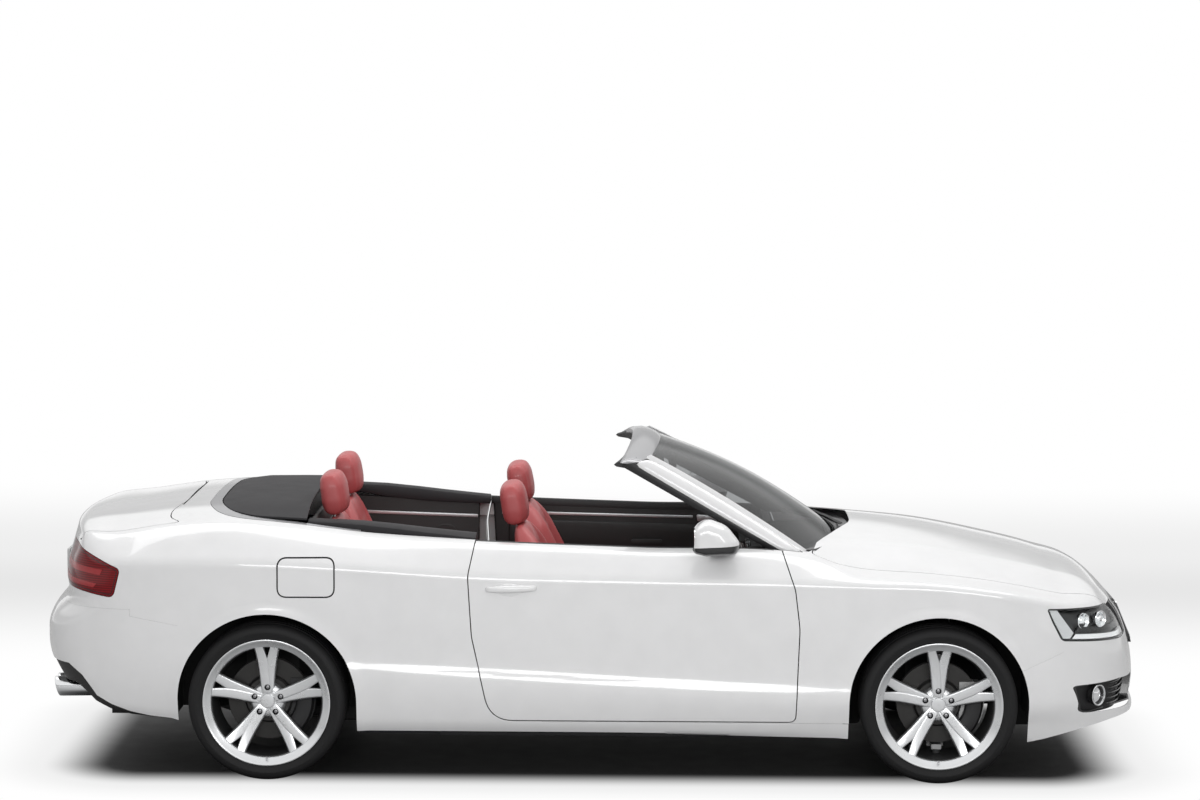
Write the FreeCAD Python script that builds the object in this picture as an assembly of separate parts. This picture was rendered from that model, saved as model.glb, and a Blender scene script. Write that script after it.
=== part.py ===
"""Two-door four-seat convertible car with its soft top stowed, built panel by panel.

Frame: +X forward, +Y to the car's left, +Z up, in millimetres. The origin is on the floor, in
the middle of the car's length and width. Pieces that come in pairs are made for the right-hand
side (-Y) and mirrored for the left.
"""
import FreeCAD
import Part

import math
import os
from collections import namedtuple

V = FreeCAD.Vector
X_AXIS = V(1, 0, 0)
Y_AXIS = V(0, 1, 0)
Z_AXIS = V(0, 0, 1)
FAR = 3000.0  # reach of tools that cut right through the car

# ---- driving dimensions -------------------------------------------------------------------
WHEELBASE = 2751.0
FRONT_OVERHANG = 889.0
REAR_OVERHANG = 985.0
LENGTH = FRONT_OVERHANG + WHEELBASE + REAR_OVERHANG
REAR = REAR_OVERHANG - LENGTH / 2  # rear axle
FRONT = REAR + WHEELBASE  # front axle
TRACK = 1590.0
TYRE_R = 323.0
TYRE_WIDTH = 245.0
TYRE_SHOULDER_R = 26.0
RIM_FLANGE_R = 262.0
RIM_BARREL_R = 240.0
RIM_WALL = 7.0
RIM_WIDTH = 226.0
HUB_R = 80.0
HUB_THICK = 34.0
RIM_OFFSET = 34.0  # hub face outboard of the wheel's middle
SPOKE_PAIRS = 5
LUG_CIRCLE_R = 60.0
DISC_R = 168.0
DISC_THICK = 28.0
HAT_R = 86.0
SPINDLE_R = 28.0
ARCH_R = 368.0
LINER_GAP = 12.0
LINER_WALL = 5.0
WELL_Y = 497.0  # inner wall of the front wheel well, clear of the steered tyre
REAR_WELL_Y = 640.0
KINGPIN_INSET = 20.0  # steering axis inboard of the wheel's middle
PANEL = 4.0  # pressed skins: fenders
LID = 20.0  # skins with their frames: hood, trunk lid, top cover
SIDE_WALL = 46.0  # rear side wall
DOOR_THICK = 112.0
BUMPER_WALL = 30.0
SILL_TOP = 245.0
SILL_THICK = 110.0
FLOOR_Z = 168.0
FLOOR_THICK = 8.0
GLASS = 5.0
SHUT_GAP = 6.0
SEAM = 0.3  # two pieces bolted edge to edge
FIT = 0.3  # a pin in its bore


# ---- small tools --------------------------------------------------------------------------
def side_view(x, z):
    return V(x, 0, z)


def plan_view(x, y):
    return V(x, y, 0)


def front_view(y, z):
    return V(0, y, z)


def rounded(corners, place):
    """Closed wire through corners (u, v, radius); each radius over 0 becomes a tangent arc."""
    count = len(corners)
    ends = []
    for i, (u, v, radius) in enumerate(corners):
        here = V(u, v, 0)
        back = V(*corners[i - 1][:2], 0) - here
        ahead = V(*corners[(i + 1) % count][:2], 0) - here
        if radius <= 0:
            ends.append((here, None, here))
            continue
        half = back.getAngle(ahead) / 2
        reach = radius / math.tan(half)
        back.normalize()
        ahead.normalize()
        middle = back + ahead
        middle.normalize()
        top = here + middle * (radius / math.sin(half) - radius)
        ends.append((here + back * reach, top, here + ahead * reach))
    edges = []
    for i, (start, top, stop) in enumerate(ends):
        following = ends[(i + 1) % count][0]
        if top is not None:
            arc = [place(p.x, p.y) for p in (start, top, stop)]
            edges.append(Part.Arc(*arc).toShape())
        if (following - stop).Length > 1e-6:
            edges.append(Part.makeLine(place(stop.x, stop.y), place(following.x, following.y)))
    return Part.Wire(edges)


def polygon(points, place):
    return rounded([(u, v, 0) for u, v in points], place)


def prism(wire, direction, low, high):
    """Solid of a flat wire pushed along an axis, from low to high."""
    face = Part.Face(wire)
    face.translate(direction * low)
    return face.extrude(direction * (high - low))


def grown(wire, gap):
    """The wire moved out by a gap all round."""
    return Part.Face(wire).makeOffset2D(gap, 2).OuterWire


def block(x, y, z):
    """Box between pairs of limits."""
    return Part.makeBox(x[1] - x[0], y[1] - y[0], z[1] - z[0], V(x[0], y[0], z[0]))


def rod(radius, start, end):
    """Round bar between two points."""
    run = end - start
    return Part.makeCylinder(radius, run.Length, start, run)


def joined(*shapes):
    return shapes[0].fuse(list(shapes[1:])).removeSplitter()


def bar(radius, *points):
    """Round bar along straight runs, with a ball at each bend."""
    runs = [rod(radius, a, b) for a, b in zip(points, points[1:])]
    bends = [Part.makeSphere(radius, p) for p in points[1:-1]]
    return joined(*runs, *bends) if len(points) > 2 else runs[0]


def mirrored(shape):
    return shape.mirror(V(0, 0, 0), Y_AXIS)


def both_sides(shape):
    return joined(shape, mirrored(shape))


def main_solid(shape):
    """The largest solid, without slivers that a cut leaves."""
    return max(shape.Solids, key=lambda s: s.Volume)


def save(name, *shapes):
    """One STEP file per node; several shapes are solids that don't touch."""
    solids = [s for shape in shapes for s in shape.Solids]
    shape = solids[0] if len(solids) == 1 else Part.makeCompound(solids)
    shape.exportStep(os.path.join("parts", name + ".step"))
    volume = sum(s.Volume for s in solids) / 1e6
    print(f"{name}: {len(solids)} solids, {volume:.2f} litres, valid {shape.isValid()}")


# ---- outer form of the body ---------------------------------------------------------------
# Half sections across the car. Each row gives, at x from the named axle, the half width and
# height of the sill's foot, the lower body line, the flank, the shoulder crease and the top
# edge of the side.
Station = namedtuple(
    "Station", "x sill_y sill_z low_y low_z mid_y mid_z crease_y crease_z edge_y edge_z"
)
STATIONS = [
    Station(REAR - 632, 800, 262, 868, 475, 878, 700, 872, 893, 705, 1000),
    Station(REAR - 392, 838, 232, 902, 470, 910, 700, 906, 901, 735, 1036),
    Station(REAR - 172, 850, 205, 916, 468, 922, 700, 920, 902, 752, 1046),
    Station(REAR + 88, 856, 196, 918, 464, 925, 700, 924, 896, 764, 1024),
    Station(REAR + 378, 856, 196, 914, 456, 916, 680, 918, 877, 772, 994),
    Station(REAR + 828, 856, 195, 911, 425, 906, 650, 909, 849, 785, 971),
    Station(FRONT - 1224, 856, 192, 911, 386, 904, 630, 906, 833, 795, 945),
    Station(FRONT - 574, 856, 180, 911, 358, 908, 620, 910, 826, 792, 925),
    Station(FRONT - 324, 856, 172, 913, 352, 914, 620, 916, 826, 790, 874),
    Station(FRONT - 4, 850, 165, 914, 345, 918, 620, 918, 819, 782, 850),
    Station(FRONT + 276, 838, 158, 908, 338, 908, 600, 903, 786, 757, 812),
    Station(FRONT + 506, 800, 150, 872, 330, 868, 560, 845, 735, 712, 764),
]
SIDE_BULGE = 7.0  # rise of the surface between shoulder crease and top edge


def side_section(s, inset, drop, reach):
    """Closed wire of one half section, moved in by inset and its top down by drop; its flat
    top and foot are pushed out by reach."""
    foot = V(s.x, -(s.sill_y - inset), s.sill_z - reach)
    sill = V(s.x, -(s.sill_y - inset), s.sill_z)
    low = V(s.x, -(s.low_y - inset), s.low_z)
    mid = V(s.x, -(s.mid_y - inset), s.mid_z)
    crease = V(s.x, -(s.crease_y - inset), s.crease_z - drop)
    edge = V(s.x, -(s.edge_y - inset), s.edge_z - drop)
    shoulder = (crease + edge) / 2 + V(0, -SIDE_BULGE, SIDE_BULGE)
    top = V(s.x, edge.y, edge.z + reach)
    middle_top = V(s.x, 0, top.z)
    middle_foot = V(s.x, 0, foot.z)
    return Part.Wire([
        Part.makeLine(middle_foot, foot),
        Part.makeLine(foot, sill),
        Part.makeLine(sill, low),
        Part.Arc(low, mid, crease).toShape(),
        Part.Arc(crease, shoulder, edge).toShape(),
        Part.makeLine(edge, top),
        Part.makeLine(top, middle_top),
        Part.makeLine(middle_top, middle_foot),
    ])


def side_form(inset=0.0, drop=0.0, reach=1.0):
    """Right half of the car between its sides, from behind the rear wheel to the lamps."""
    return Part.makeLoft([side_section(s, inset, drop, reach) for s in STATIONS], True, True)


def side_shell(thickness, drop=0.0):
    """The right flank alone, as thick as a door, wall or skin."""
    return side_form().cut(side_form(thickness, drop, FAR / 10))


# Slices through the nose and the tail. A slice runs from the flank round the shoulder and the
# corner to the middle of the car; shoulder, corner and end are x from the nearer axle.
Slice = namedtuple("Slice", "z side_y shoulder_x shoulder_y corner_x corner_y end_x")
NOSE = [
    Slice(150, 838, 506, 830, 801, 640, 872),
    Slice(215, 862, 506, 862, 838, 640, FRONT_OVERHANG),
    Slice(240, 870, 506, 872, 808, 640, 872),
    Slice(420, 908, 516, 897, 816, 632, 876),
    Slice(560, 908, 516, 890, 794, 622, 848),
    Slice(700, 905, 502, 850, 741, 600, 781),
    Slice(790, 900, 482, 805, 681, 585, 706),
]
TAIL = [
    Slice(230, 838, -522, 815, -712, 600, -762),
    Slice(330, 868, -532, 858, -807, 620, -862),
    Slice(480, 905, -552, 892, -928, 622, -972),
    Slice(600, 910, -552, 896, -940, 612, -REAR_OVERHANG),
    Slice(668, 912, -552, 894, -918, 600, -962),
    Slice(700, 912, -547, 892, -872, 600, -924),
    Slice(880, 906, -537, 878, -854, 600, -918),
    Slice(985, 868, -522, 810, -830, 600, -908),
    Slice(1130, 800, -502, 720, -770, 580, -840),
]
END_START = 276.0  # where slices leave the flank, outboard of the axle
SHOULDER_R = 380.0
CORNER_R = 190.0
END_R = 1500.0


def end_slice(cut, axle, inset):
    """Closed wire of one horizontal slice through an end of the car."""
    way = 1 if axle > 0 else -1
    corner_x = axle + cut.corner_x - way * inset
    corner_y = cut.corner_y - inset * 0.5
    slope = math.atan((cut.end_x - cut.corner_x) * way / cut.corner_y)
    peak = END_R * (1 / math.cos(slope) - 1)
    half = [
        (axle + way * END_START, cut.side_y - inset, 0),
        (axle + cut.shoulder_x - way * inset * 0.3, cut.shoulder_y - inset, SHOULDER_R),
        (corner_x, corner_y, CORNER_R),
    ]
    apex = (axle + cut.end_x + way * (peak - inset), 0, END_R)
    other = [(x, -y, r) for x, y, r in reversed(half)]
    return rounded(half + [apex] + other, lambda x, y: V(x, y, cut.z))


def end_form(slices, axle, inset=0.0):
    """Solid of a whole end of the car."""
    return Part.makeLoft([end_slice(s, axle, inset) for s in slices], True, True)


# Hood and rear deck: sections across the car, each from edge over a ridge to the middle.
Crown = namedtuple("Crown", "x edge_y edge_z ridge_y ridge_z middle_z")
HOOD = [
    Crown(FRONT - 543, 780, 914, 520, 968, 1008),
    Crown(FRONT - 324, 776, 872, 510, 955, 1000),
    Crown(FRONT - 4, 768, 849, 500, 928, 963),
    Crown(FRONT + 276, 743, 811, 480, 878, 906),
    Crown(FRONT + 506, 698, 763, 450, 825, 850),
    Crown(FRONT + 657, 640, 742, 420, 780, 796),
    Crown(FRONT + 762, 590, 716, 400, 722, 730),
]
DECK = [
    Crown(REAR - 920, 580, 965, 400, 990, 998),
    Crown(REAR - 870, 640, 985, 420, 1012, 1020),
    Crown(REAR - 800, 680, 995, 430, 1028, 1038),
    Crown(REAR - 632, 705, 1000, 440, 1045, 1057),
    Crown(REAR - 392, 735, 1036, 450, 1076, 1088),
    Crown(REAR - 252, 748, 1042, 460, 1086, 1099),
]
COVER = [
    Crown(REAR - 300, 640, 1035, 420, 1062, 1078),
    Crown(REAR - 232, 684, 1054, 440, 1088, 1102),
    Crown(REAR - 130, 698, 1064, 450, 1102, 1115),
    Crown(REAR + 160, 698, 1060, 450, 1103, 1117),
]


def crown_section(c, thickness):
    """Closed band across the car, thickness deep."""
    def curve(drop):
        edge = V(c.x, -c.edge_y, c.edge_z - drop)
        ridge = V(c.x, -c.ridge_y, c.ridge_z - drop)
        middle = V(c.x, 0, c.middle_z - drop)
        far_ridge = V(c.x, c.ridge_y, ridge.z)
        far_edge = V(c.x, c.edge_y, edge.z)
        rise = (edge + ridge) / 2 + V(0, 0, 0.12 * (c.ridge_z - c.edge_z) + 1)
        far_rise = V(c.x, -rise.y, rise.z)
        return edge, rise, ridge, middle, far_ridge, far_rise, far_edge

    a = curve(0)
    b = curve(thickness)
    return Part.Wire([
        Part.Arc(a[0], a[1], a[2]).toShape(),
        Part.Arc(a[2], a[3], a[4]).toShape(),
        Part.Arc(a[4], a[5], a[6]).toShape(),
        Part.makeLine(a[6], b[6]),
        Part.Arc(b[6], b[5], b[4]).toShape(),
        Part.Arc(b[4], b[3], b[2]).toShape(),
        Part.Arc(b[2], b[1], b[0]).toShape(),
        Part.makeLine(b[0], a[0]),
    ])


def crown_plate(sections, thickness):
    return Part.makeLoft([crown_section(c, thickness) for c in sections], True, True)


# ---- shut lines, drawn on the car's side --------------------------------------------------
DOOR_REAR = REAR + 833  # at the middle of its height
DOOR_FRONT = FRONT - 571
DOOR_SHAPE = rounded([
    (DOOR_REAR + 62, 1200, 0),
    (DOOR_REAR - 10, 850, 160),
    (DOOR_REAR + 6, 600, 260),
    (DOOR_REAR + 82, SILL_TOP + SHUT_GAP, 120),
    (DOOR_FRONT - 14, SILL_TOP + SHUT_GAP, 30),
    (DOOR_FRONT, 640, 300),
    (DOOR_FRONT - 20, 800, 150),
    (DOOR_FRONT - 86, 990, 0),
    (DOOR_FRONT - 86, 1200, 0),
], side_view)
FUEL_FLAP = (REAR + 48, REAR + 280, 762, 921, 38)  # x, x, z, z, corner radius
LAMP_BACK = FRONT + 506
HEADLAMP_SHAPE = rounded([
    (LAMP_BACK - 34, 690, 8),
    (LAMP_BACK + 120, 703, 120),
    (FRONT + 900, 703, 0),
    (FRONT + 900, 572, 0),
    (LAMP_BACK + 40, 560, 30),
    (LAMP_BACK - 8, 640, 60),
], side_view)
TAILLAMP_SHAPE = rounded([
    (REAR - 1100, 948, 0),
    (REAR - 806, 948, 20),
    (REAR - 632, 860, 22),
    (REAR - 662, 745, 30),
    (REAR - 820, 772, 60),
    (REAR - 1100, 790, 0),
], side_view)
LAMP_DEPTH = 120.0
LAMP_INNER_Y = 470.0
BUMPER_TOP = 700.0


def arch_shape(axle, radius):
    """Wheel opening: round above the axle, straight below it."""
    left, right = axle - radius, axle + radius
    return Part.Wire([
        Part.makeLine(V(left, 0, -100), V(left, 0, TYRE_R)),
        Part.Arc(V(left, 0, TYRE_R), V(axle, 0, TYRE_R + radius), V(right, 0, TYRE_R)).toShape(),
        Part.makeLine(V(right, 0, TYRE_R), V(right, 0, -100)),
        Part.makeLine(V(right, 0, -100), V(left, 0, -100)),
    ])


def right_prism(wire):
    """A side view outline pushed through the right half of the car."""
    return prism(wire, Y_AXIS, -FAR, -1)


ARCHES = [right_prism(arch_shape(axle, ARCH_R)) for axle in (REAR, FRONT)]
DOOR_HOLE = right_prism(grown(DOOR_SHAPE, SHUT_GAP))
OUTER_NOSE = end_form(NOSE, FRONT)
OUTER_TAIL = end_form(TAIL, REAR)
NOSE_SHELL = OUTER_NOSE.cut(end_form(NOSE, FRONT, BUMPER_WALL))
TAIL_SHELL = OUTER_TAIL.cut(end_form(TAIL, REAR, BUMPER_WALL))

# The trunk lid's opening from behind: over the whole deck, and between the lamps below it.
LID_WAIST = LAMP_INNER_Y + 10
LID_SHAPE = rounded([
    (-672, 1300, 0), (-672, 962, 24), (-LID_WAIST, 962, 0), (-LID_WAIST, BUMPER_TOP + 14, 30),
    (LID_WAIST, BUMPER_TOP + 14, 30), (LID_WAIST, 962, 0), (672, 962, 24), (672, 1300, 0),
], front_view)
LID_FRONT = REAR - 385
LID_HOLE = prism(grown(LID_SHAPE, SHUT_GAP), X_AXIS, -FAR, LID_FRONT + SHUT_GAP)


# ---- hinges -------------------------------------------------------------------------------
LID_PIN_R = 3.0
ARM = 38.0


def lid_hinges(lid, carrier, x, z, places, way, foot=5):
    """Pins across notches in a lid's edge, held in eyes on the fixed piece beside that edge."""
    for y in places:
        notch = block(sorted((x - way * 14, x + way * 60)), (y - 16, y + 16), (z - 60, z + 60))
        lid = lid.cut(notch).fuse(rod(LID_PIN_R, V(x, y - 17, z), V(x, y + 17, z)))
        eye = rod(8, V(x, y - 10, z), V(x, y + 10, z))
        arm = block(sorted((x, x + way * ARM)), (y - 10, y + 10), (z - 5, z + 5))
        lug = block(sorted((x + way * (ARM - 12), x + way * ARM)), (y - 10, y + 10),
                    (z - foot, z + 5))
        bore = rod(LID_PIN_R + FIT, V(x, y - 20, z), V(x, y + 20, z))
        carrier = carrier.fuse(eye.fuse([arm, lug]).cut(bore))
    return lid.removeSplitter(), carrier.removeSplitter()


DOOR_AXIS_X = DOOR_FRONT - 60
DOOR_AXIS_Y = -892.0
DOOR_EYE_R = 7.0
DOOR_PIN_R = 4.0
DOOR_HINGES = ((380, 420), (690, 730))  # lower and upper, from and to in height
DOOR_FLANGE = 8.0  # skin left outside a hinge
DOOR_ARM = 10.0


def door_hinges(door, post):
    """Swan-necked arms from the post reach into pockets in the door's front edge."""
    x, y = DOOR_AXIS_X, DOOR_AXIS_Y
    inner = -DOOR_SHELL_Y + DOOR_THICK
    for low, high in DOOR_HINGES:
        pocket = block((x - 16, FRONT), (y - DOOR_FLANGE, 0), (low - SHUT_GAP, high + SHUT_GAP))
        pin = rod(DOOR_PIN_R, V(x, y, low - SHUT_GAP - 1), V(x, y, high + SHUT_GAP + 1))
        door = door.cut(pocket).fuse(pin)
        eye = rod(DOOR_EYE_R, V(x, y, low), V(x, y, high))
        neck = block((x - DOOR_ARM / 2, x + DOOR_ARM / 2), (y, inner), (low, high))
        foot = block((x - DOOR_ARM / 2, DOOR_FRONT + 40), (inner - DOOR_ARM, inner), (low, high))
        bore = rod(DOOR_PIN_R + FIT, V(x, y, low - 1), V(x, y, high + 1))
        post = post.fuse([eye, neck, foot]).cut(bore)
    return main_solid(door), main_solid(post.removeSplitter())


DOOR_SHELL_Y = 906.0
FLAP_PIN_R = 2.0
FLAP_PIN_Y = -917.6  # middle of the flap's skin
POST_END = FRONT - 485
POST_TOP = 900.0


def side_parts():
    """Right door and side panel: sill, hinge post, rear side wall and rear corner."""
    door = main_solid(side_shell(DOOR_THICK).common(right_prism(DOOR_SHAPE)))

    body_zone = right_prism(polygon([
        (REAR - 560, 1300), (REAR - 560, BUMPER_TOP - 25), (REAR - 360, 640), (REAR - 360, 100),
        (FRONT - 369, 100), (FRONT - 369, SILL_TOP), (DOOR_REAR + 40, SILL_TOP),
        (DOOR_REAR + 60, 1300),
    ], side_view))
    wall = side_shell(SIDE_WALL).common(body_zone)
    sill_zone = right_prism(polygon([
        (REAR + ARCH_R + 70, 100), (FRONT - 400, 100), (FRONT - 400, SILL_TOP),
        (REAR + ARCH_R + 70, SILL_TOP),
    ], side_view))
    sill = side_shell(SILL_THICK).common(sill_zone)
    post_zone = right_prism(polygon([
        (DOOR_FRONT - 100, SILL_TOP - 20), (POST_END, SILL_TOP - 20), (POST_END, 846),
        (FRONT - 528, 846), (FRONT - 528, POST_TOP), (DOOR_FRONT - 100, POST_TOP),
    ], side_view))
    outside = side_form(PANEL + SEAM, PANEL + SEAM)
    post = outside.common(post_zone).cut(side_form(SILL_THICK, 0, FAR / 10))
    corner_zone = block((-FAR, REAR - 540), (-FAR, -LAMP_INNER_Y), (BUMPER_TOP + SEAM, 990))
    corner = TAIL_SHELL.common(corner_zone)
    lamp_hole = right_prism(TAILLAMP_SHAPE)
    panel = wall.fuse([sill, post, corner])
    panel = panel.cut([DOOR_HOLE, *ARCHES, lamp_hole, LID_HOLE])
    door = door.cut(block((FRONT - 750, FRONT), (-756, 0), (POST_TOP - SHUT_GAP, FAR)))
    door, panel = door_hinges(door, main_solid(panel))

    low_x, high_x, low_z, high_z, radius = FUEL_FLAP
    flap_shape = rounded([
        (low_x, low_z, radius), (high_x, low_z, radius),
        (high_x, high_z, radius), (low_x, high_z, radius),
    ], side_view)
    recess = side_shell(SIDE_WALL - 14).common(right_prism(grown(flap_shape, SHUT_GAP)))
    fuelled_panel = main_solid(panel.cut(recess))
    flap = main_solid(side_shell(5).common(right_prism(flap_shape)))
    middle = (low_z + high_z) / 2
    pin_x, pin_y = high_x - 4, FLAP_PIN_Y
    flap = flap.cut(block((pin_x - 6.5, 0), (-FAR, 0), (middle - 16, middle + 16)))
    flap = flap.fuse(rod(FLAP_PIN_R, V(pin_x, pin_y, middle - 26), V(pin_x, pin_y, middle + 26)))
    lug = rod(3.4, V(pin_x, pin_y, middle - 11), V(pin_x, pin_y, middle + 11)).fuse(
        block((pin_x, high_x + SHUT_GAP + 2), (pin_y - 3.4, pin_y + 3.4),
              (middle - 11, middle + 11)))
    bore = rod(FLAP_PIN_R + FIT, V(pin_x, pin_y, middle - 12), V(pin_x, pin_y, middle + 12))
    fuelled_panel = main_solid(fuelled_panel.fuse(lug).cut(bore))
    return door, panel, fuelled_panel, main_solid(flap), V(pin_x, pin_y, middle)


def fender():
    zone = right_prism(polygon([
        (DOOR_FRONT - 100, 1300), (LAMP_BACK + 4, 1300), (LAMP_BACK + 4, 545),
        (FRONT + ARCH_R - 30, 470), (FRONT + ARCH_R - 30, 100), (FRONT, 100),
        (FRONT, SILL_TOP + SEAM), (DOOR_FRONT - 40, SILL_TOP + SEAM),
    ], side_view))
    skin = side_shell(PANEL, PANEL).common(zone)
    lamp = right_prism(grown(HEADLAMP_SHAPE, SEAM))
    return main_solid(skin.cut([DOOR_HOLE, *ARCHES, lamp]))


# ---- bumpers, grille and lamps ------------------------------------------------------------
GRILLE_SHAPE = rounded([
    (-330, 560, 30), (330, 560, 30), (300, 668, 26), (-300, 668, 26),
], front_view)
INTAKE_SHAPE = rounded([
    (-380, 232, 20), (380, 232, 20), (330, 398, 30), (-330, 398, 30),
], front_view)
FOG_SHAPE = rounded([
    (-770, 262, 16), (-470, 262, 30), (-440, 398, 20), (-640, 402, 40), (-760, 366, 30),
], front_view)


def front_prism(wire):
    return prism(wire, X_AXIS, FRONT + 380, FAR)


def openings_front():
    fog = front_prism(FOG_SHAPE)
    return [front_prism(GRILLE_SHAPE), front_prism(INTAKE_SHAPE), fog, mirrored(fog)]


def hood_front(gap):
    """Plan of the hood's front edge, for the hood (gap 0) or its opening."""
    reach = 762 + gap
    return Part.Wire([
        Part.Arc(
            V(FRONT + reach - 92, -690, 0), V(FRONT + reach, 0, 0), V(FRONT + reach - 92, 690, 0)
        ).toShape(),
        Part.makeLine(V(FRONT + reach - 92, 690, 0), V(FRONT, 900, 0)),
        Part.makeLine(V(FRONT, 900, 0), V(FRONT, -900, 0)),
        Part.makeLine(V(FRONT, -900, 0), V(FRONT + reach - 92, -690, 0)),
    ])


def front_bumper():
    zone = right_prism(polygon([
        (FRONT + ARCH_R - 30, 100), (FRONT + ARCH_R - 30, 470 - SEAM), (LAMP_BACK + 4, 545 - SEAM),
        (LAMP_BACK + 4, BUMPER_TOP), (FAR, BUMPER_TOP), (FAR, 100),
    ], side_view))
    zone = zone.fuse(mirrored(zone)).fuse(
        block((FRONT + 380, FAR), (-2, 2), (100, BUMPER_TOP))
    )
    lamp = right_prism(grown(HEADLAMP_SHAPE, SEAM))
    arch = ARCHES[1]
    tools = [lamp, mirrored(lamp), arch, mirrored(arch), *openings_front()]
    return main_solid(NOSE_SHELL.common(zone).cut(tools))


def bars(shape, low, high, count, depth):
    """Level bars across an opening, set just behind the bumper's face, joined by uprights."""
    inside = OUTER_NOSE_SET_BACK.cut(end_form(NOSE, FRONT, 12 + depth))
    step = (high - low) / count
    rails = [
        block((FRONT, FAR), (-800, 800), (low + step * (i + 0.28), low + step * (i + 0.72)))
        for i in range(count)
    ]
    uprights = [block((FRONT, FAR), (y - 8, y + 8), (low, high)) for y in (-250, 0, 250)]
    lattice = rails[0].fuse(rails[1:] + uprights)
    return inside.common(lattice).common(front_prism(shape))


OUTER_NOSE_SET_BACK = end_form(NOSE, FRONT, 12)


def grille():
    """Upper grille, lower mesh and the fog lamps' surrounds: separate plastic mouldings."""
    upper = bars(GRILLE_SHAPE, 560, 668, 4, 18)
    lower = bars(INTAKE_SHAPE, 232, 398, 5, 18)
    fog_wall = OUTER_NOSE_SET_BACK.cut(end_form(NOSE, FRONT, 12 + 14))
    fog = main_solid(fog_wall.common(front_prism(FOG_SHAPE)))
    return [main_solid(upper), main_solid(lower), fog, mirrored(fog)]


def headlamp():
    zone = right_prism(HEADLAMP_SHAPE).common(
        block((-FAR, FAR), (-FAR, -LAMP_INNER_Y + 40), (0, FAR))
    )
    shell = OUTER_NOSE.cut(end_form(NOSE, FRONT, LAMP_DEPTH))
    return main_solid(shell.common(zone))


def taillamp():
    zone = right_prism(grown(TAILLAMP_SHAPE, -SEAM)).common(
        block((-FAR, FAR), (-FAR, -LAMP_INNER_Y - 2 * SHUT_GAP - 10), (0, FAR))
    )
    shell = OUTER_TAIL.cut(end_form(TAIL, REAR, LAMP_DEPTH))
    return main_solid(shell.common(zone))


def rear_bumper():
    zone = right_prism(polygon([
        (-FAR, BUMPER_TOP), (REAR - 560, BUMPER_TOP), (REAR - 560, BUMPER_TOP - 25 - SEAM),
        (REAR - 360, 640 - SEAM), (REAR - 360, 264), (REAR - 900, 300), (-FAR, 300),
    ], side_view))
    zone = zone.fuse(mirrored(zone)).fuse(block((-FAR, REAR - 600), (-2, 2), (310, BUMPER_TOP)))
    arch = ARCHES[0]
    skin = main_solid(TAIL_SHELL.common(zone).cut([arch, mirrored(arch)]))
    ledge = end_form(TAIL, REAR, 4).common(
        block((-FAR, REAR - 860), (-560, 560), (BUMPER_TOP - 14, BUMPER_TOP))
    )
    notch = rounded([
        (-640, 200, 0), (-600, 384, 30), (-430, 384, 30), (-400, 330, 20), (400, 330, 20),
        (430, 384, 30), (600, 384, 30), (640, 200, 0),
    ], front_view)
    return main_solid(skin.fuse(ledge).cut(prism(notch, X_AXIS, -FAR, REAR - 700)))


def diffuser():
    """Dark lower part of the rear bumper, with the exhaust's cut-outs."""
    shape = rounded([
        (-600, 262, 20), (-592, 378, 30), (-434, 378, 28), (-396, 324, 20), (396, 324, 20),
        (434, 378, 28), (592, 378, 30), (600, 262, 20),
    ], front_view)
    shell = end_form(TAIL, REAR, 12).cut(end_form(TAIL, REAR, BUMPER_WALL + 8))
    rim = end_form(TAIL, REAR, BUMPER_WALL + SEAM).cut(end_form(TAIL, REAR, BUMPER_WALL + 8))
    pipes = [rod(PIPE_HOLE_R, V(-FAR, y, PIPE_Z), V(REAR - 600, y, PIPE_Z)) for y in PIPE_YS]
    plate = shell.common(prism(shape, X_AXIS, -FAR, REAR - 735))
    rim = rim.common(prism(grown(shape, 14), X_AXIS, -FAR, REAR - 735))
    return main_solid(plate.fuse(rim).cut(pipes))


PIPE_R = 38.0
PIPE_HOLE_R = PIPE_R + 8
PIPE_Z = 325.0
PIPE_YS = (-556, -474, 474, 556)


# ---- lids ---------------------------------------------------------------------------------
GLASS_FOOT_X = FRONT - 350  # middle of the screen's foot
HOOD_BACK = rounded([
    (FRONT - 500, -900, 0), (FRONT - 500, -640, 60), (FRONT - 331, -200, 300),
    (FRONT - 331, 200, 300), (FRONT - 500, 640, 60), (FRONT - 500, 900, 0),
    (FRONT - 900, 900, 0), (FRONT - 900, -900, 0),
], plan_view)
HOOD_AXIS = V(FRONT - 500, 0, 925)
HOOD_HINGE_Y = 715.0


def hood(right_carrier, left_carrier):
    """Hood panel, hinged near its rear corners on the two hinge posts."""
    plate = crown_plate(HOOD, LID).cut(prism(HOOD_BACK, Z_AXIS, 0, FAR))
    front = prism(hood_front(0), Z_AXIS, 0, FAR)
    rest = block((0, FRONT + 0.5), (-FAR, FAR), (0, FAR))
    plate = main_solid(plate.common(front.fuse(rest)))
    x, z, y = HOOD_AXIS.x, HOOD_AXIS.z, HOOD_HINGE_Y
    plate, right_carrier = lid_hinges(plate, right_carrier, x, z, (-y,), -1, 45)
    plate, left_carrier = lid_hinges(plate, left_carrier, x, z, (y,), -1, 45)
    return main_solid(plate), right_carrier, left_carrier


def trunk_lid(carrier):
    """Top and rear face in one shell, hinged at its front edge."""
    under_deck = crown_plate(DECK, 400).common(end_form(TAIL, REAR, 4))
    inside = crown_plate([c._replace(
        edge_z=c.edge_z - LID, ridge_z=c.ridge_z - LID, middle_z=c.middle_z - LID
    ) for c in DECK], 500).common(end_form(TAIL, REAR, 4 + LID + 5))
    shell = under_deck.cut(inside)
    zone = prism(LID_SHAPE, X_AXIS, -FAR, LID_FRONT)
    lid = main_solid(shell.common(zone))
    return lid_hinges(lid, carrier, TRUNK_AXIS.x, TRUNK_AXIS.z, (-260, 260), 1)


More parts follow.
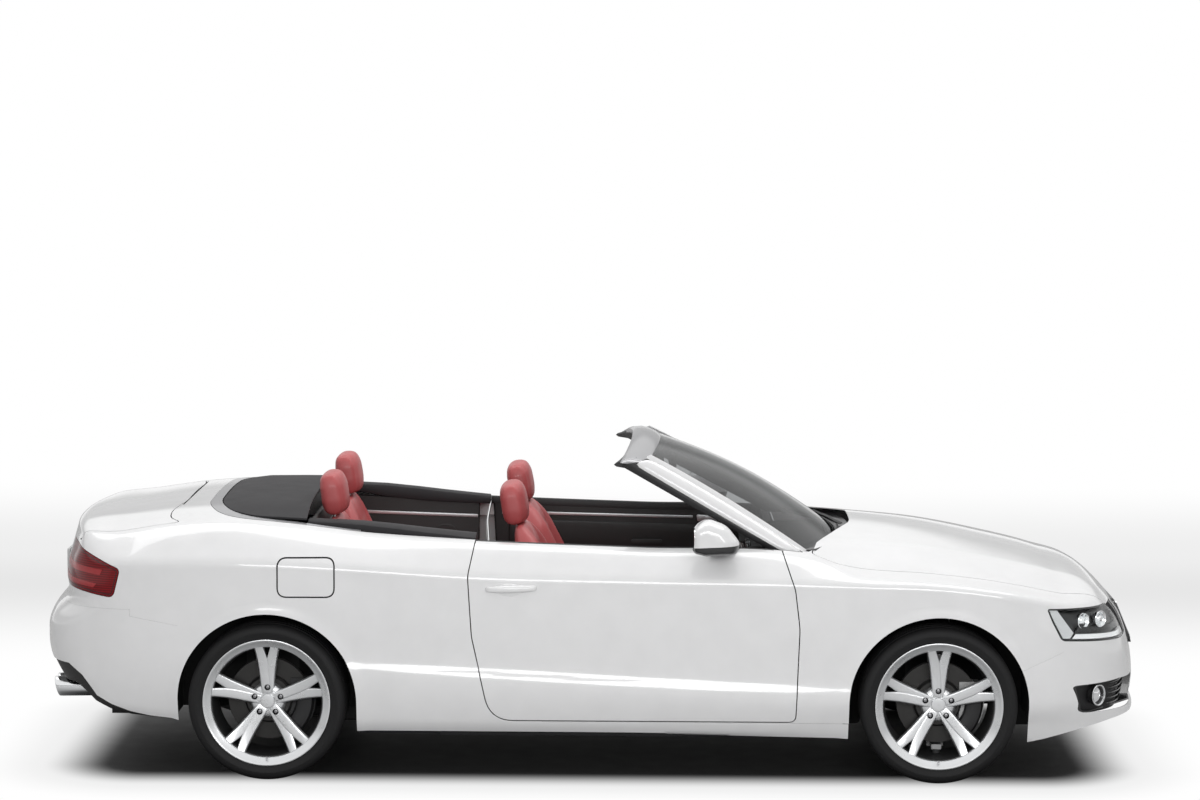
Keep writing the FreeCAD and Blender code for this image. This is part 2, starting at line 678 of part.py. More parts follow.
TRUNK_AXIS = V(LID_FRONT - 10, 0, 1079)
COVER_BACK = REAR - 272
COVER_FRONT = REAR + 150
COVER_AXIS = V(COVER_BACK + 12, 0, 1079)


def deck_strip():
    """Fixed panel between the trunk lid and the top's cover."""
    strip = crown_plate([
        Crown(LID_FRONT + SHUT_GAP, 668, 1033, 450, 1074, 1086),
        Crown(COVER_BACK - SHUT_GAP, 668, 1036, 450, 1078, 1092),
    ], LID)
    return strip


def top_cover(carrier):
    plate = crown_plate([c for c in COVER], LID)
    zone = block((COVER_BACK, COVER_FRONT), (-FAR, FAR), (0, FAR))
    return lid_hinges(main_solid(plate.common(zone)), carrier, COVER_AXIS.x, COVER_AXIS.z,
                      (-300, 300), -1)


# ---- windscreen ---------------------------------------------------------------------------
PILLAR_FOOT = ((FRONT - 621, -748), (FRONT - 541, -748), (FRONT - 541, -694), (FRONT - 621, -694))
PILLAR_HEAD = ((FRONT - 1310, -620), (FRONT - 1192, -604), (FRONT - 1192, -566), (FRONT - 1310, -572))
HEADER_Z = 1306.0  # top of the header at the pillars
HEADER_CROWN = 60.0
COWL_Z = 926.0
COWL_LOW = 896.0


def windscreen_frame():
    """Two raked pillars and the header between them."""
    foot = polygon(PILLAR_FOOT, lambda x, y: V(x, y, POST_TOP + SEAM))
    head = polygon(PILLAR_HEAD, lambda x, y: V(x, y, HEADER_Z))
    pillar = Part.makeLoft([foot, head], True, True)
    sections = []
    for y, crown, forward in ((-600, 0, 0), (-300, 0.76, 42), (0, 1, 56), (300, 0.76, 42), (600, 0, 0)):
        rise = HEADER_Z + crown * HEADER_CROWN
        back = FRONT - 1312 + forward * 0.5
        nose = FRONT - 1190 + forward
        sections.append(Part.makePolygon([V(x, y, z) for x, z in (
            (back, rise - 34), (back, rise - 10), (back + 40, rise), (nose - 40, rise - 8),
            (nose, rise - 30), (nose - 10, rise - 40), (back, rise - 34),
        )]))
    header = Part.makeLoft(sections, True, True)
    return main_solid(joined(header, pillar, mirrored(pillar)))


def windscreen_glass(frame):
    """Curved pane between pillars, header and cowl."""
    def band(z, corner, middle_x):
        x, y = corner
        back = GLASS / math.sin(SCREEN_RAKE)
        return Part.Wire([
            Part.Arc(V(x, -y, z), V(middle_x, 0, z), V(x, y, z)).toShape(),
            Part.makeLine(V(x, y, z), V(x - back, y, z)),
            Part.Arc(V(x - back, y, z), V(middle_x - back, 0, z), V(x - back, -y, z)).toShape(),
            Part.makeLine(V(x - back, -y, z), V(x, -y, z)),
        ])

    foot = band(COWL_Z + SEAM, (FRONT - 566, 712), GLASS_FOOT_X - 8)
    head = band(HEADER_Z + 40, (FRONT - 1276, 590), FRONT - 1156)
    return main_solid(Part.makeLoft([foot, head], True, True).cut(frame))


SCREEN_RAKE = math.radians(30)


def cowl():
    """Panel under the screen's foot, between the hinge posts."""
    front = rounded([
        (FRONT - 530, -681.7, 0), (FRONT - 530, -640, 60), (FRONT - 342, -200, 300),
        (FRONT - 342, 200, 300), (FRONT - 530, 640, 60), (FRONT - 530, 681.7, 0),
        (FRONT - 590, 681.7, 0), (FRONT - 590, 640, 0), (FRONT - 430, 180, 200),
        (FRONT - 430, -180, 200), (FRONT - 590, -640, 0), (FRONT - 590, -681.7, 0),
    ], plan_view)
    return prism(front, Z_AXIS, COWL_LOW, COWL_Z)


# ---- cabin --------------------------------------------------------------------------------
DASH_Y = 640.0
FIREWALL_X = FRONT - 400
SEAT_Y = 370.0
TUNNEL_Y = 110.0
TUNNEL_Z = 300.0
FLOOR_TOP = FLOOR_Z + FLOOR_THICK
HEEL_X = REAR + 370  # front of the kick-up under the rear seat


def floor_pan():
    """Cabin floor between the sills, with its centre tunnel."""
    span = block((HEEL_X, FIREWALL_X), (-FAR, 0), (FLOOR_Z, FLOOR_TOP))
    inside = side_form(SILL_THICK + SEAM, 0, FAR / 10)
    half = span.common(inside)
    tunnel = block((HEEL_X, FIREWALL_X), (-TUNNEL_Y, 0), (FLOOR_Z, TUNNEL_Z))
    hollow = block((HEEL_X, FIREWALL_X), (-TUNNEL_Y + WALL, 1), (FLOOR_Z - 1, TUNNEL_Z - WALL))
    half = half.fuse(tunnel).cut(hollow)
    return main_solid(both_sides(half))


WALL = 6.0
CONSOLE_SHAPE = [
    (HEEL_X + 150, 460), (HEEL_X + 480, 520), (HEEL_X + 900, 470), (HEEL_X + 1210, 520),
    (HEEL_X + 1330, 700), (HEEL_X + 1400, 700), (HEEL_X + 1400, TUNNEL_Z + SEAM),
    (HEEL_X + 150, TUNNEL_Z + SEAM),
]


def dashboard():
    """Dashboard moulding with its instrument hood and centre console."""
    shape = rounded([
        (FRONT - 430, 640, 0), (FRONT - 700, 600, 30), (FRONT - 770, 700, 40),
        (FRONT - 760, 830, 30), (FRONT - 640, 884, 40), (FRONT - 430, 892, 0),
    ], side_view)
    body = prism(shape, Y_AXIS, -DASH_Y, DASH_Y)
    binnacle = prism(rounded([
        (FRONT - 640, 800, 0), (FRONT - 800, 800, 20), (FRONT - 806, 890, 20),
        (FRONT - 760, 925, 20), (FRONT - 620, 884, 0),
    ], side_view), Y_AXIS, SEAT_Y - 190, SEAT_Y + 190)
    mount = block((FRONT - 431, FIREWALL_X - SEAM), (-DASH_Y, DASH_Y), (660, 690))
    console = prism(polygon(CONSOLE_SHAPE, side_view), Y_AXIS, -TUNNEL_Y + 10, TUNNEL_Y - 10)
    column = rod(COLUMN_R, COLUMN_TOP, COLUMN_TOP + COLUMN_WAY * 260)
    bore = rod(WHEEL_SHAFT_R + FIT, COLUMN_TOP - COLUMN_WAY, COLUMN_TOP + COLUMN_WAY * 62)
    return main_solid(joined(body, binnacle, mount, console, column).cut(bore))


COLUMN_TOP = V(FRONT - 850, SEAT_Y, 800)
COLUMN_WAY = V(math.cos(math.radians(22)), 0, -math.sin(math.radians(22)))
COLUMN_R = 30.0
WHEEL_SHAFT_R = 14.0
STEERING_R = 186.0
STEERING_GRIP_R = 15.0


def steering_wheel():
    centre = COLUMN_TOP - COLUMN_WAY * 42
    up = V(-COLUMN_WAY.z, 0, COLUMN_WAY.x)
    out = (up + Y_AXIS).normalize()
    section = []
    for k in range(13):
        a = math.radians(30 * k)
        section.append(centre + out * (STEERING_R - STEERING_GRIP_R + STEERING_GRIP_R * math.cos(a))
                       + COLUMN_WAY * (STEERING_GRIP_R * math.sin(a)))
    section[-1] = section[0]
    rim = Part.Face(Part.makePolygon(section)).revolve(centre, COLUMN_WAY, 360)
    pad = rod(66, centre - COLUMN_WAY * 20, centre + COLUMN_WAY * 30)
    shaft = rod(WHEEL_SHAFT_R, centre, COLUMN_TOP + COLUMN_WAY * 60)
    spokes = []
    for turn in (90, -90, 180):
        a = math.radians(turn)
        way = up * math.cos(a) + Y_AXIS * math.sin(a)
        spokes.append(rod(12, centre, centre + way * (STEERING_R - STEERING_GRIP_R)))
    return joined(rim, pad, shaft, *spokes)


SEAT_W = 520.0
SEAT_X = FRONT - 1470  # hip line of the front seats
SEAT_BACK = rounded([
    (-10, 420, 50), (-150, 400, 30), (-330, 955, 60), (-215, 985, 60), (-60, 640, 200),
], lambda x, z: V(SEAT_X + x, 0, z))
SEAT_CUSHION = rounded([
    (-60, 310, 20), (450, 320, 20), (475, 430, 50), (330, 470, 120), (-60, 430, 20),
], lambda x, z: V(SEAT_X + x, 0, z))
SEAT_HEADREST = rounded([
    (-358, 1010, 30), (-252, 1010, 30), (-262, 1110, 60), (-300, 1176, 30), (-368, 1172, 30),
], lambda x, z: V(SEAT_X + x, 0, z))


def front_seat():
    """Right front seat on its frame: cushion, back and headrest."""
    half = SEAT_W / 2
    back = prism(SEAT_BACK, Y_AXIS, -SEAT_Y - half + 20, -SEAT_Y + half - 20)
    cushion = prism(SEAT_CUSHION, Y_AXIS, -SEAT_Y - half, -SEAT_Y + half - 10)
    head = prism(SEAT_HEADREST, Y_AXIS, -SEAT_Y - 130, -SEAT_Y + 130)
    posts = [
        rod(7, V(SEAT_X - 262, -SEAT_Y + dy, 940), V(SEAT_X - 300, -SEAT_Y + dy, 1040))
        for dy in (-60, 60)
    ]
    base = block((SEAT_X - 40, SEAT_X + 420), (-SEAT_Y - 200, -SEAT_Y + 200),
                 (FLOOR_TOP + SEAM, 325))
    return joined(back, cushion, head, base, *posts)


REAR_SEAT_Y = 600.0
REAR_HEAD_Y = 360.0


def rear_seat():
    """Rear bench with its back and two headrests."""
    cushion = rounded([
        (REAR + 390, 300, 20), (REAR + 810, 320, 20), (REAR + 830, 440, 50),
        (REAR + 700, 470, 60), (REAR + 390, 430, 20),
    ], side_view)
    back = rounded([
        (REAR + 430, 380, 20), (REAR + 290, 380, 20), (REAR + 190, 1000, 40),
        (REAR + 290, 1015, 40), (REAR + 400, 620, 120),
    ], side_view)
    head = rounded([
        (REAR + 178, 1048, 30), (REAR + 276, 1048, 30), (REAR + 268, 1140, 60),
        (REAR + 240, 1218, 30), (REAR + 172, 1212, 30),
    ], side_view)
    pieces = [
        prism(cushion, Y_AXIS, -REAR_SEAT_Y, REAR_SEAT_Y),
        prism(back, Y_AXIS, -REAR_SEAT_Y, REAR_SEAT_Y),
    ]
    for side in (-1, 1):
        centre = side * REAR_HEAD_Y
        pieces.append(prism(head, Y_AXIS, centre - 125, centre + 125))
        for dy in (-50, 50):
            pieces.append(rod(7, V(REAR + 240, centre + dy, 980), V(REAR + 225, centre + dy, 1070)))
    foot = block((REAR + 400, REAR + 790), (-REAR_SEAT_Y + 40, REAR_SEAT_Y - 40),
                 (FLOOR_TOP + SEAM, 325))
    tunnel_room = block((HEEL_X - 60, FAR), (-TUNNEL_Y - 10, TUNNEL_Y + 10),
                        (0, TUNNEL_Z + 8))
    return joined(*pieces, foot).cut(tunnel_room).removeSplitter()


def cockpit_ledge():
    """Dark trim round the back of the cabin: along both sides and behind the rear seat."""
    def ledge(x, low, high, outer):
        return Part.makePolygon([V(x, y, z) for y, z in (
            (-outer, low), (-outer, low + 8), (-outer + 40, high), (-REAR_SEAT_Y - 14, high - 6),
            (-REAR_SEAT_Y - 14, low - 8), (-outer, low),
        )])

    top = Part.makeLoft([
        ledge(REAR + 160, 1024, 1050, 712), ledge(REAR + 378, 999, 1044, 712),
        ledge(REAR + 640, 982, 1016, 716), ledge(DOOR_REAR + 46, 974, 996, 720),
    ], True, True)
    trim = block((HEEL_X + 10, DOOR_REAR - 40), (-REAR_SEAT_Y - 26, -REAR_SEAT_Y - 14),
                 (FLOOR_TOP + SEAM, 990))
    shelf = block((REAR + 158, REAR + 186), (-REAR_SEAT_Y - 20, 1), (990, 1030))
    half = joined(top, trim, shelf)
    return main_solid(both_sides(half))


TUB_BACK = REAR - 610
TUB_LOW = 290.0
TAIL_FLOOR_BACK = REAR - 725


def luggage_tub(neighbours):
    """Boot floor and walls, wheel houses and the panel behind the rear seat."""
    front, high = REAR + 150, 900
    outer = block((TUB_BACK, front), (-REAR_WELL_Y, REAR_WELL_Y), (TUB_LOW, high))
    inner = block((TUB_BACK + WALL, front - WALL), (-REAR_WELL_Y + WALL, REAR_WELL_Y - WALL),
                  (TUB_LOW + WALL, high + 1))
    tail_y = LAMP_INNER_Y - 50
    mouth = block((TUB_BACK - 1, TUB_BACK + WALL + 1), (-tail_y, tail_y), (TUB_LOW + WALL, high + 1))
    tail_out = block((TAIL_FLOOR_BACK, TUB_BACK + WALL), (-tail_y - WALL, tail_y + WALL),
                     (TUB_LOW, BUMPER_TOP - 20))
    tail_in = block((TAIL_FLOOR_BACK + WALL, TUB_BACK + WALL), (-tail_y, tail_y),
                    (TUB_LOW + WALL, BUMPER_TOP))
    tub = joined(outer.cut([inner, mouth]), tail_out.cut(tail_in))
    seat_wall = block((front - WALL, front), (-REAR_WELL_Y, REAR_WELL_Y), (TUB_LOW, 1010))
    heel = block((front - WALL, HEEL_X - SEAM), (-REAR_WELL_Y, REAR_WELL_Y),
                 (TUB_LOW, TUB_LOW + WALL))
    kick = block((HEEL_X - WALL, HEEL_X - SEAM), (-REAR_WELL_Y, REAR_WELL_Y),
                 (FLOOR_Z, TUB_LOW + WALL))
    props = [
        block((COVER_BACK - 34, COVER_BACK - 12), (y - 10, y + 10), (high - 40, 1090))
        for y in (-REAR_WELL_Y + 10, REAR_WELL_Y - 10)
    ]
    tub = joined(tub, seat_wall, heel, kick, *props)
    pipe_way = block((HEEL_X - 20, HEEL_X + 1), (-45, 45), (FLOOR_Z - 1, 250))
    return main_solid(tub.cut([*neighbours, pipe_way]))


# ---- front structure and machinery --------------------------------------------------------
RAIL_Y = (430, 490)
RAIL_Z = (380, 500)
TOWER_X = (FRONT - 70, FRONT + 70)
NOSE_BEAM = FRONT + 690


def front_frame(neighbours):
    """Firewall, two long rails, bumper beam and strut towers, welded together."""
    wall = block((FIREWALL_X, FIREWALL_X + WALL), (-835, 0), (FLOOR_Z, COWL_LOW - SEAM)).common(
        side_form(PANEL + SEAM, PANEL + SEAM + 20)
    )
    rail = block((FIREWALL_X, NOSE_BEAM), (-RAIL_Y[1], -RAIL_Y[0]), RAIL_Z)
    beam = block((NOSE_BEAM - 40, NOSE_BEAM), (-520, 1), RAIL_Z)
    tower = block(TOWER_X, (-640, -RAIL_Y[1] + 1), (740, 752)).fuse(
        block(TOWER_X, (-RAIL_Y[1], -RAIL_Y[0]), (RAIL_Z[1] - 1, 752))
    )
    mount = block((NOSE_BEAM - 1, FRONT + 830), (-430, -400), RAIL_Z)
    tunnel = block((0, FAR), (-TUNNEL_Y + WALL, 1), (0, TUNNEL_Z - WALL))
    half = joined(wall, rail, beam, tower, mount).cut(tunnel)
    return main_solid(both_sides(half).cut(neighbours))


def radiator():
    """Radiator pack behind the grille, hung from the bumper beam."""
    core = block((NOSE_BEAM - 90, NOSE_BEAM - 40 - SEAM), (-330, 330), (240, 660))
    return core


ENGINE = ((FRONT - 330, FRONT + 250), (-190, 190), (260, 800))


def front_subframe():
    """Cross member with the engine on it, wishbones and struts out to the front knuckles."""
    cross = block((FRONT - 60, FRONT + 60), (-RAIL_Y[1], 1), (190, 250))
    legs = block((FRONT - 40, FRONT + 40), (-RAIL_Y[1], -RAIL_Y[0]), (249, RAIL_Z[0] - SEAM))
    pin_y = -(TRACK / 2 - KINGPIN_INSET)
    pad = block((FRONT - 40, FRONT + 40), (-180, -120), (249, ENGINE[2][0] - SEAM))
    arm = bar(10, V(FRONT, -RAIL_Y[0], 215), V(FRONT, -600, BALL_LOW - 13),
              V(FRONT, pin_y, BALL_LOW - 13))
    cup = rod(15, V(FRONT, pin_y, BALL_LOW - 22), V(FRONT, pin_y, BALL_LOW - FIT))
    return both_sides(joined(cross, legs, pad, arm, cup))


BALL_LOW = 124.0
BALL_HIGH = 520.0


def front_struts():
    """Spring struts: from the towers down and out to the knuckles' upper joints."""
    pin_y = -(TRACK / 2 - KINGPIN_INSET)
    middle = BALL_HIGH + 12
    leg = bar(10, V(FRONT, pin_y, middle), V(FRONT, -604, middle), V(FRONT, -575, 720))
    spring = rod(36, V(FRONT, -594, BALL_HIGH + 60), V(FRONT, -575, 740 - SEAM))
    cup = rod(18, V(FRONT, pin_y, BALL_HIGH + FIT), V(FRONT, pin_y, BALL_HIGH + 22))
    strut = joined(leg, spring, cup).common(block((0, FAR), (-FAR, 0), (0, 740 - SEAM)))
    return [strut, mirrored(strut)]


def hub_shapes(y):
    """Spindle, bearing and calliper of one wheel whose middle is at y, outboard at -y."""
    face = y - RIM_OFFSET
    axle = V(0, 0, TYRE_R)
    spindle = rod(SPINDLE_R, axle + V(0, y + 110, 0), axle + V(0, face - 12, 0))
    bearing = rod(62, axle + V(0, y + 110, 0), axle + V(0, face + 22, 0))
    calliper = rod(DISC_R + 24, axle + V(0, y + 52, 0), axle + V(0, y - 12, 0))
    slot = rod(DISC_R + 3, axle + V(0, DISC_INNER(y) + 4, 0), axle + V(0, DISC_OUTER(y) - 4, 0))
    wedge = block((90, 230), (-FAR, FAR), (TYRE_R - 85, TYRE_R + 85))
    bridge = block((50, 110), (y + 40, y + 52), (TYRE_R - 40, TYRE_R + 40))
    calliper = calliper.common(wedge).cut(slot)
    return joined(spindle, bearing, calliper, bridge)


def DISC_INNER(y):
    return y + 16 + DISC_THICK / 2


def DISC_OUTER(y):
    return y + 16 - DISC_THICK / 2


def front_knuckle():
    """Upright with its joints on the steering axis, hub and calliper."""
    y = -TRACK / 2
    pin_y = y + KINGPIN_INSET
    hub = hub_shapes(y)
    back = block((-34, 34), (y + 70, y + 110), (BALL_LOW + 2, BALL_HIGH - 2))
    low = block((-20, 20), (pin_y - 16, y + 110), (BALL_LOW, BALL_LOW + 20))
    high = block((-20, 20), (pin_y - 16, y + 110), (BALL_HIGH - 20, BALL_HIGH))
    shape = joined(back, low, high, hub)
    shape.translate(V(FRONT, 0, 0))
    return main_solid(shape)


def disc():
    """Brake disc with its hat."""
    y = -TRACK / 2
    face = y - RIM_OFFSET
    centre = V(0, 0, TYRE_R)
    ring = rod(DISC_R, centre + V(0, DISC_INNER(y), 0), centre + V(0, DISC_OUTER(y), 0))
    hat = rod(HAT_R, centre + V(0, DISC_INNER(y), 0), centre + V(0, face, 0))
    hollow = rod(HAT_R - 10, centre + V(0, DISC_INNER(y) + 1, 0), centre + V(0, face + 8, 0))
    bore = rod(SPINDLE_R + FIT, centre + V(0, y, 0), centre + V(0, face - 1, 0))
    return joined(ring, hat).cut([hollow, bore])


SPOKE_ROOT = 20.0
SPOKE_SPLIT = math.radians(7.4)  # half angle between a pair's two ends


def rim():
    """Alloy wheel: barrel with two flanges, hub and five split spokes."""
    y = -TRACK / 2
    half = RIM_WIDTH / 2
    face = y - RIM_OFFSET

    def ring(points):
        return prism_turned(points, y)

    barrel = ring([
        (-half, RIM_FLANGE_R), (-half, RIM_BARREL_R - RIM_WALL), (half, RIM_BARREL_R - RIM_WALL),
        (half, RIM_FLANGE_R), (half - 8, RIM_FLANGE_R), (half - 8, RIM_BARREL_R),
        (-half + 8, RIM_BARREL_R), (-half + 8, RIM_FLANGE_R),
    ])
    axle = V(0, 0, TYRE_R)
    hub = rod(HUB_R, axle + V(0, face - FIT, 0), axle + V(0, face - HUB_THICK, 0))
    lip = y - half
    spokes = []
    for i in range(SPOKE_PAIRS):
        base = math.pi / 2 + i * math.tau / SPOKE_PAIRS
        for side in (-1, 1):
            root = base + side * math.atan(SPOKE_ROOT / HUB_R)
            tip = base + side * SPOKE_SPLIT * 1.9
            spokes.append(spoke(root, tip, face, lip))
    wheel = joined(barrel, hub, *spokes)
    bore = rod(SPINDLE_R + FIT, axle + V(0, face, 0), axle + V(0, face - 16, 0))
    lugs = []
    for i in range(SPOKE_PAIRS):
        a = math.pi / 2 + i * math.tau / SPOKE_PAIRS
        x, z = LUG_CIRCLE_R * math.cos(a), LUG_CIRCLE_R * math.sin(a)
        lugs.append(rod(11, axle + V(x, face - HUB_THICK - 1, z), axle + V(x, face - 16, z)))
    return main_solid(wheel.cut([bore, *lugs]))


def prism_turned(points, y):
    """Ring about the wheel's axis, from a closed outline of (across, radius)."""
    outline = [V(0, y + across, TYRE_R + radius) for across, radius in points]
    face = Part.Face(Part.makePolygon(outline + outline[:1]))
    return face.revolve(V(0, y, TYRE_R), Y_AXIS, 360)


def spoke(root, tip, face, lip):
    """One tapered spoke from hub to barrel, between two directions about the axle."""
    def station(radius, angle, width, outer, depth):
        along = V(math.cos(angle), 0, math.sin(angle))
        across = V(-along.z, 0, along.x) * (width / 2)
        middle = V(0, 0, TYRE_R) + along * radius
        near = [middle + across + V(0, outer, 0), middle - across + V(0, outer, 0)]
        deep = [middle - across * 0.8 + V(0, outer + depth, 0),
                middle + across * 0.8 + V(0, outer + depth, 0)]
        return Part.makePolygon([*near, *deep, near[0]])

    return Part.makeLoft([
        station(HUB_R - 16, root, 34, face - HUB_THICK + 2, 26),
        station(RIM_BARREL_R - RIM_WALL + 3, tip, 24, lip + 16, 22),
    ], True, True)


def tyre():
    half = TYRE_WIDTH / 2
    bead = RIM_WIDTH / 2 - 8 - SEAM
    base = RIM_BARREL_R + SEAM
    wall = RIM_FLANGE_R + 6
    outline = rounded([
        (-bead, base, 0), (bead, base, 0), (bead, wall, 0), (half, wall + 22, 10),
        (half - 2, TYRE_R, TYRE_SHOULDER_R), (-half + 2, TYRE_R, TYRE_SHOULDER_R),
        (-half, wall + 22, 10), (-bead, wall, 0),
    ], lambda across, radius: V(0, -TRACK / 2 + across, TYRE_R + radius))
    return Part.Face(outline).revolve(V(0, -TRACK / 2, TYRE_R), Y_AXIS, 360)


def rear_subframe():
    """Cross member, final drive, arms and hub carriers of the rear axle."""
    y = -TRACK / 2
    cross = block((REAR - 90, REAR + 90), (-460, 1), (205, 275))
    drive = block((REAR - 110, REAR + 130), (-110, 1), (212, 289))
    low = bar(17, V(REAR, -440, 225), V(REAR, y + 100, 250))
    high = bar(13, V(REAR + 60, -440, 262), V(REAR + 20, y + 100, 272))
    hub = hub_shapes(y)
    back = block((-34, 34), (y + 84, y + 116), (225, 440))
    carrier = joined(hub, back)
    carrier.translate(V(REAR, 0, 0))
    return both_sides(joined(cross, drive, low, high, carrier))


def exhaust():
    """Pipe under the floor, rear silencer and its four tail pipes."""
    pipe = bar(28, V(FRONT - 331, 0, 214), V(REAR + 300, 0, 214), V(REAR + 200, -160, 160),
               V(REAR - 180, -160, 160), V(REAR - 420, -60, 220), V(REAR - 520, -60, 240))
    box = block((REAR - 700, REAR - 500), (-480, 480), (196, 278))
    tips = []
    for y in PIPE_YS:
        inner = math.copysign(458, y)
        tips.append(bar(20, V(REAR - 640, inner, 250), V(REAR - 722, y, PIPE_Z - 18)))
        tips.append(rod(PIPE_R, V(REAR - 712, y, PIPE_Z), V(REAR - 905, y, PIPE_Z)))
    whole = joined(pipe, box, *tips)
    bores = [rod(PIPE_R - 3, V(REAR - 800, y, PIPE_Z), V(REAR - 906, y, PIPE_Z)) for y in PIPE_YS]
    return main_solid(whole.cut(bores))


def arch_liners(neighbours):
    """Black shells over the four wheels, inside the skin."""
    liners = []
    for axle, inner_y, outer_y, wall in (
        (FRONT, -WELL_Y, -860, PANEL), (REAR, -REAR_WELL_Y - SEAM, -850, SIDE_WALL),
    ):
        big = rod(ARCH_R + LINER_GAP + LINER_WALL, V(axle, inner_y, TYRE_R), V(axle, outer_y, TYRE_R))
        small = rod(ARCH_R + LINER_GAP, V(axle, inner_y - LINER_WALL, TYRE_R),
                    V(axle, outer_y - 1, TYRE_R))
        shell = big.cut(small)
        room = block((axle - 110, axle + 110), (-FAR, FAR), (0, 560))
        top_room = block((axle - 76, axle + 76), (-640, -RAIL_Y[0]), (500, FAR))
        shell = shell.cut(block((-FAR, FAR), (-FAR, FAR), (-FAR, 262))).cut(room)
        if axle > 0:
            shell = shell.cut(top_room)
        inside = side_form(wall + SEAM, wall + SEAM)
        shell = main_solid(shell.common(inside).cut(neighbours))
        liners += [shell, mirrored(shell)]
    return liners


def mirror(door):
    """Right door mirror: foot on the door's belt and shell with its glass recess."""
    shell = rounded([
        (FRONT - 1016, 968, 26), (FRONT - 1010, 1070, 40), (FRONT - 930, 1086, 60),
        (FRONT - 822, 1010, 40), (FRONT - 830, 956, 30), (FRONT - 960, 946, 30),
    ], side_view)
    head = prism(shell, Y_AXIS, -1010, -852)
    glass = prism(rounded([
        (FRONT - 1040, 985, 0), (FRONT - 1000, 985, 0), (FRONT - 1000, 1062, 0),
        (FRONT - 1040, 1062, 0),
    ], side_view), Y_AXIS, -1000, -862)
    foot = prism(rounded([
        (-862, 990, 0), (-862, 955, 0), (-775, 900, 0), (-735, 900, 0), (-735, 945, 0),
        (-800, 975, 0),
    ], front_view), X_AXIS, FRONT - 930, FRONT - 850)
    return main_solid(joined(head, foot).cut([glass, door]))


# ---- the whole car ------------------------------------------------------------------------
def at_axle(shape, axle, side):
    placed = shape.copy()
    placed.translate(V(axle, 0, 0))
    return placed if side < 0 else mirrored(placed)


def build():
    os.makedirs("parts", exist_ok=True)
    door, left_panel, right_panel, flap, flap_pin = side_parts()
    left_panel = mirrored(left_panel)
    hood_lid, right_panel, left_panel = hood(right_panel, left_panel)
    strip = deck_strip()
    lid, strip = trunk_lid(strip)
    cover, strip = top_cover(strip)
    frame = windscreen_frame()
    ledge = cockpit_ledge()
    ledge = main_solid(ledge.cut([right_panel, left_panel]))

    save("floor_pan", floor_pan())
    bumper = front_bumper()
    both_panels = [right_panel, left_panel]
    save("front_frame", front_frame([bumper, *both_panels]))
    save("luggage_tub", luggage_tub([strip, *both_panels]))
    save("side_panel_right", right_panel)
    save("side_panel_left", left_panel)
    wing = fender()
    save("fender_right", wing)
    save("fender_left", mirrored(wing))
    save("front_bumper", bumper)
    save("rear_bumper", rear_bumper())
    save("diffuser", diffuser())
    save("grille", *grille())
    lamp = headlamp()
    save("headlamps", lamp, mirrored(lamp))
    lamp = taillamp()
    save("taillamps", lamp, mirrored(lamp))
    save("windscreen_frame", frame)
    save("windscreen_glass", windscreen_glass(frame))
    save("cowl_panel", cowl())
    save("rear_deck", strip)
    save("cockpit_trim", ledge)
    save("dashboard", dashboard())
    seat = front_seat()
    save("front_seat_right", seat)
    save("front_seat_left", mirrored(seat))
    save("rear_seat", rear_seat())
    save("steering_wheel", steering_wheel())
    save("radiator", radiator())
    save("engine_block", block(*ENGINE))
    save("front_subframe", front_subframe())
    save("front_struts", *front_struts())
    save("rear_subframe", rear_subframe())
    save("exhaust", exhaust())
    save("arch_liners", *arch_liners([bumper, *both_panels]))
    save("hood", hood_lid)
    save("trunk_lid", lid)
    save("top_cover", cover)
    save("fuel_flap", flap)
    side_mirror = mirror(door)
    knuckle = front_knuckle()
    shapes = {"tyre": tyre(), "rim": rim(), "disc": disc()}
    for name, side in (("right", -1), ("left", 1)):
        save(f"door_{name}", door if side < 0 else mirrored(door))
        save(f"mirror_{name}", side_mirror if side < 0 else mirrored(side_mirror))
        save(f"front_knuckle_{name}", knuckle if side < 0 else mirrored(knuckle))
        for end, axle in (("front", FRONT), ("rear", REAR)):
            for kind, shape in shapes.items():
                save(f"{kind}_{end}_{name}", at_axle(shape, axle, side))
    print("wheels at x", FRONT, REAR, "y", TRACK / 2, "z", TYRE_R)
    print("kingpins at y", TRACK / 2 - KINGPIN_INSET)
    print("door axis", DOOR_AXIS_X, DOOR_AXIS_Y, "hood axis", HOOD_AXIS, "trunk axis", TRUNK_AXIS)
    print("cover axis", COVER_AXIS, "flap pin", flap_pin, "column", COLUMN_TOP, COLUMN_WAY)


build()
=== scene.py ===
import math

import bmesh
import bpy
import numpy as np
from mathutils import Matrix, Vector


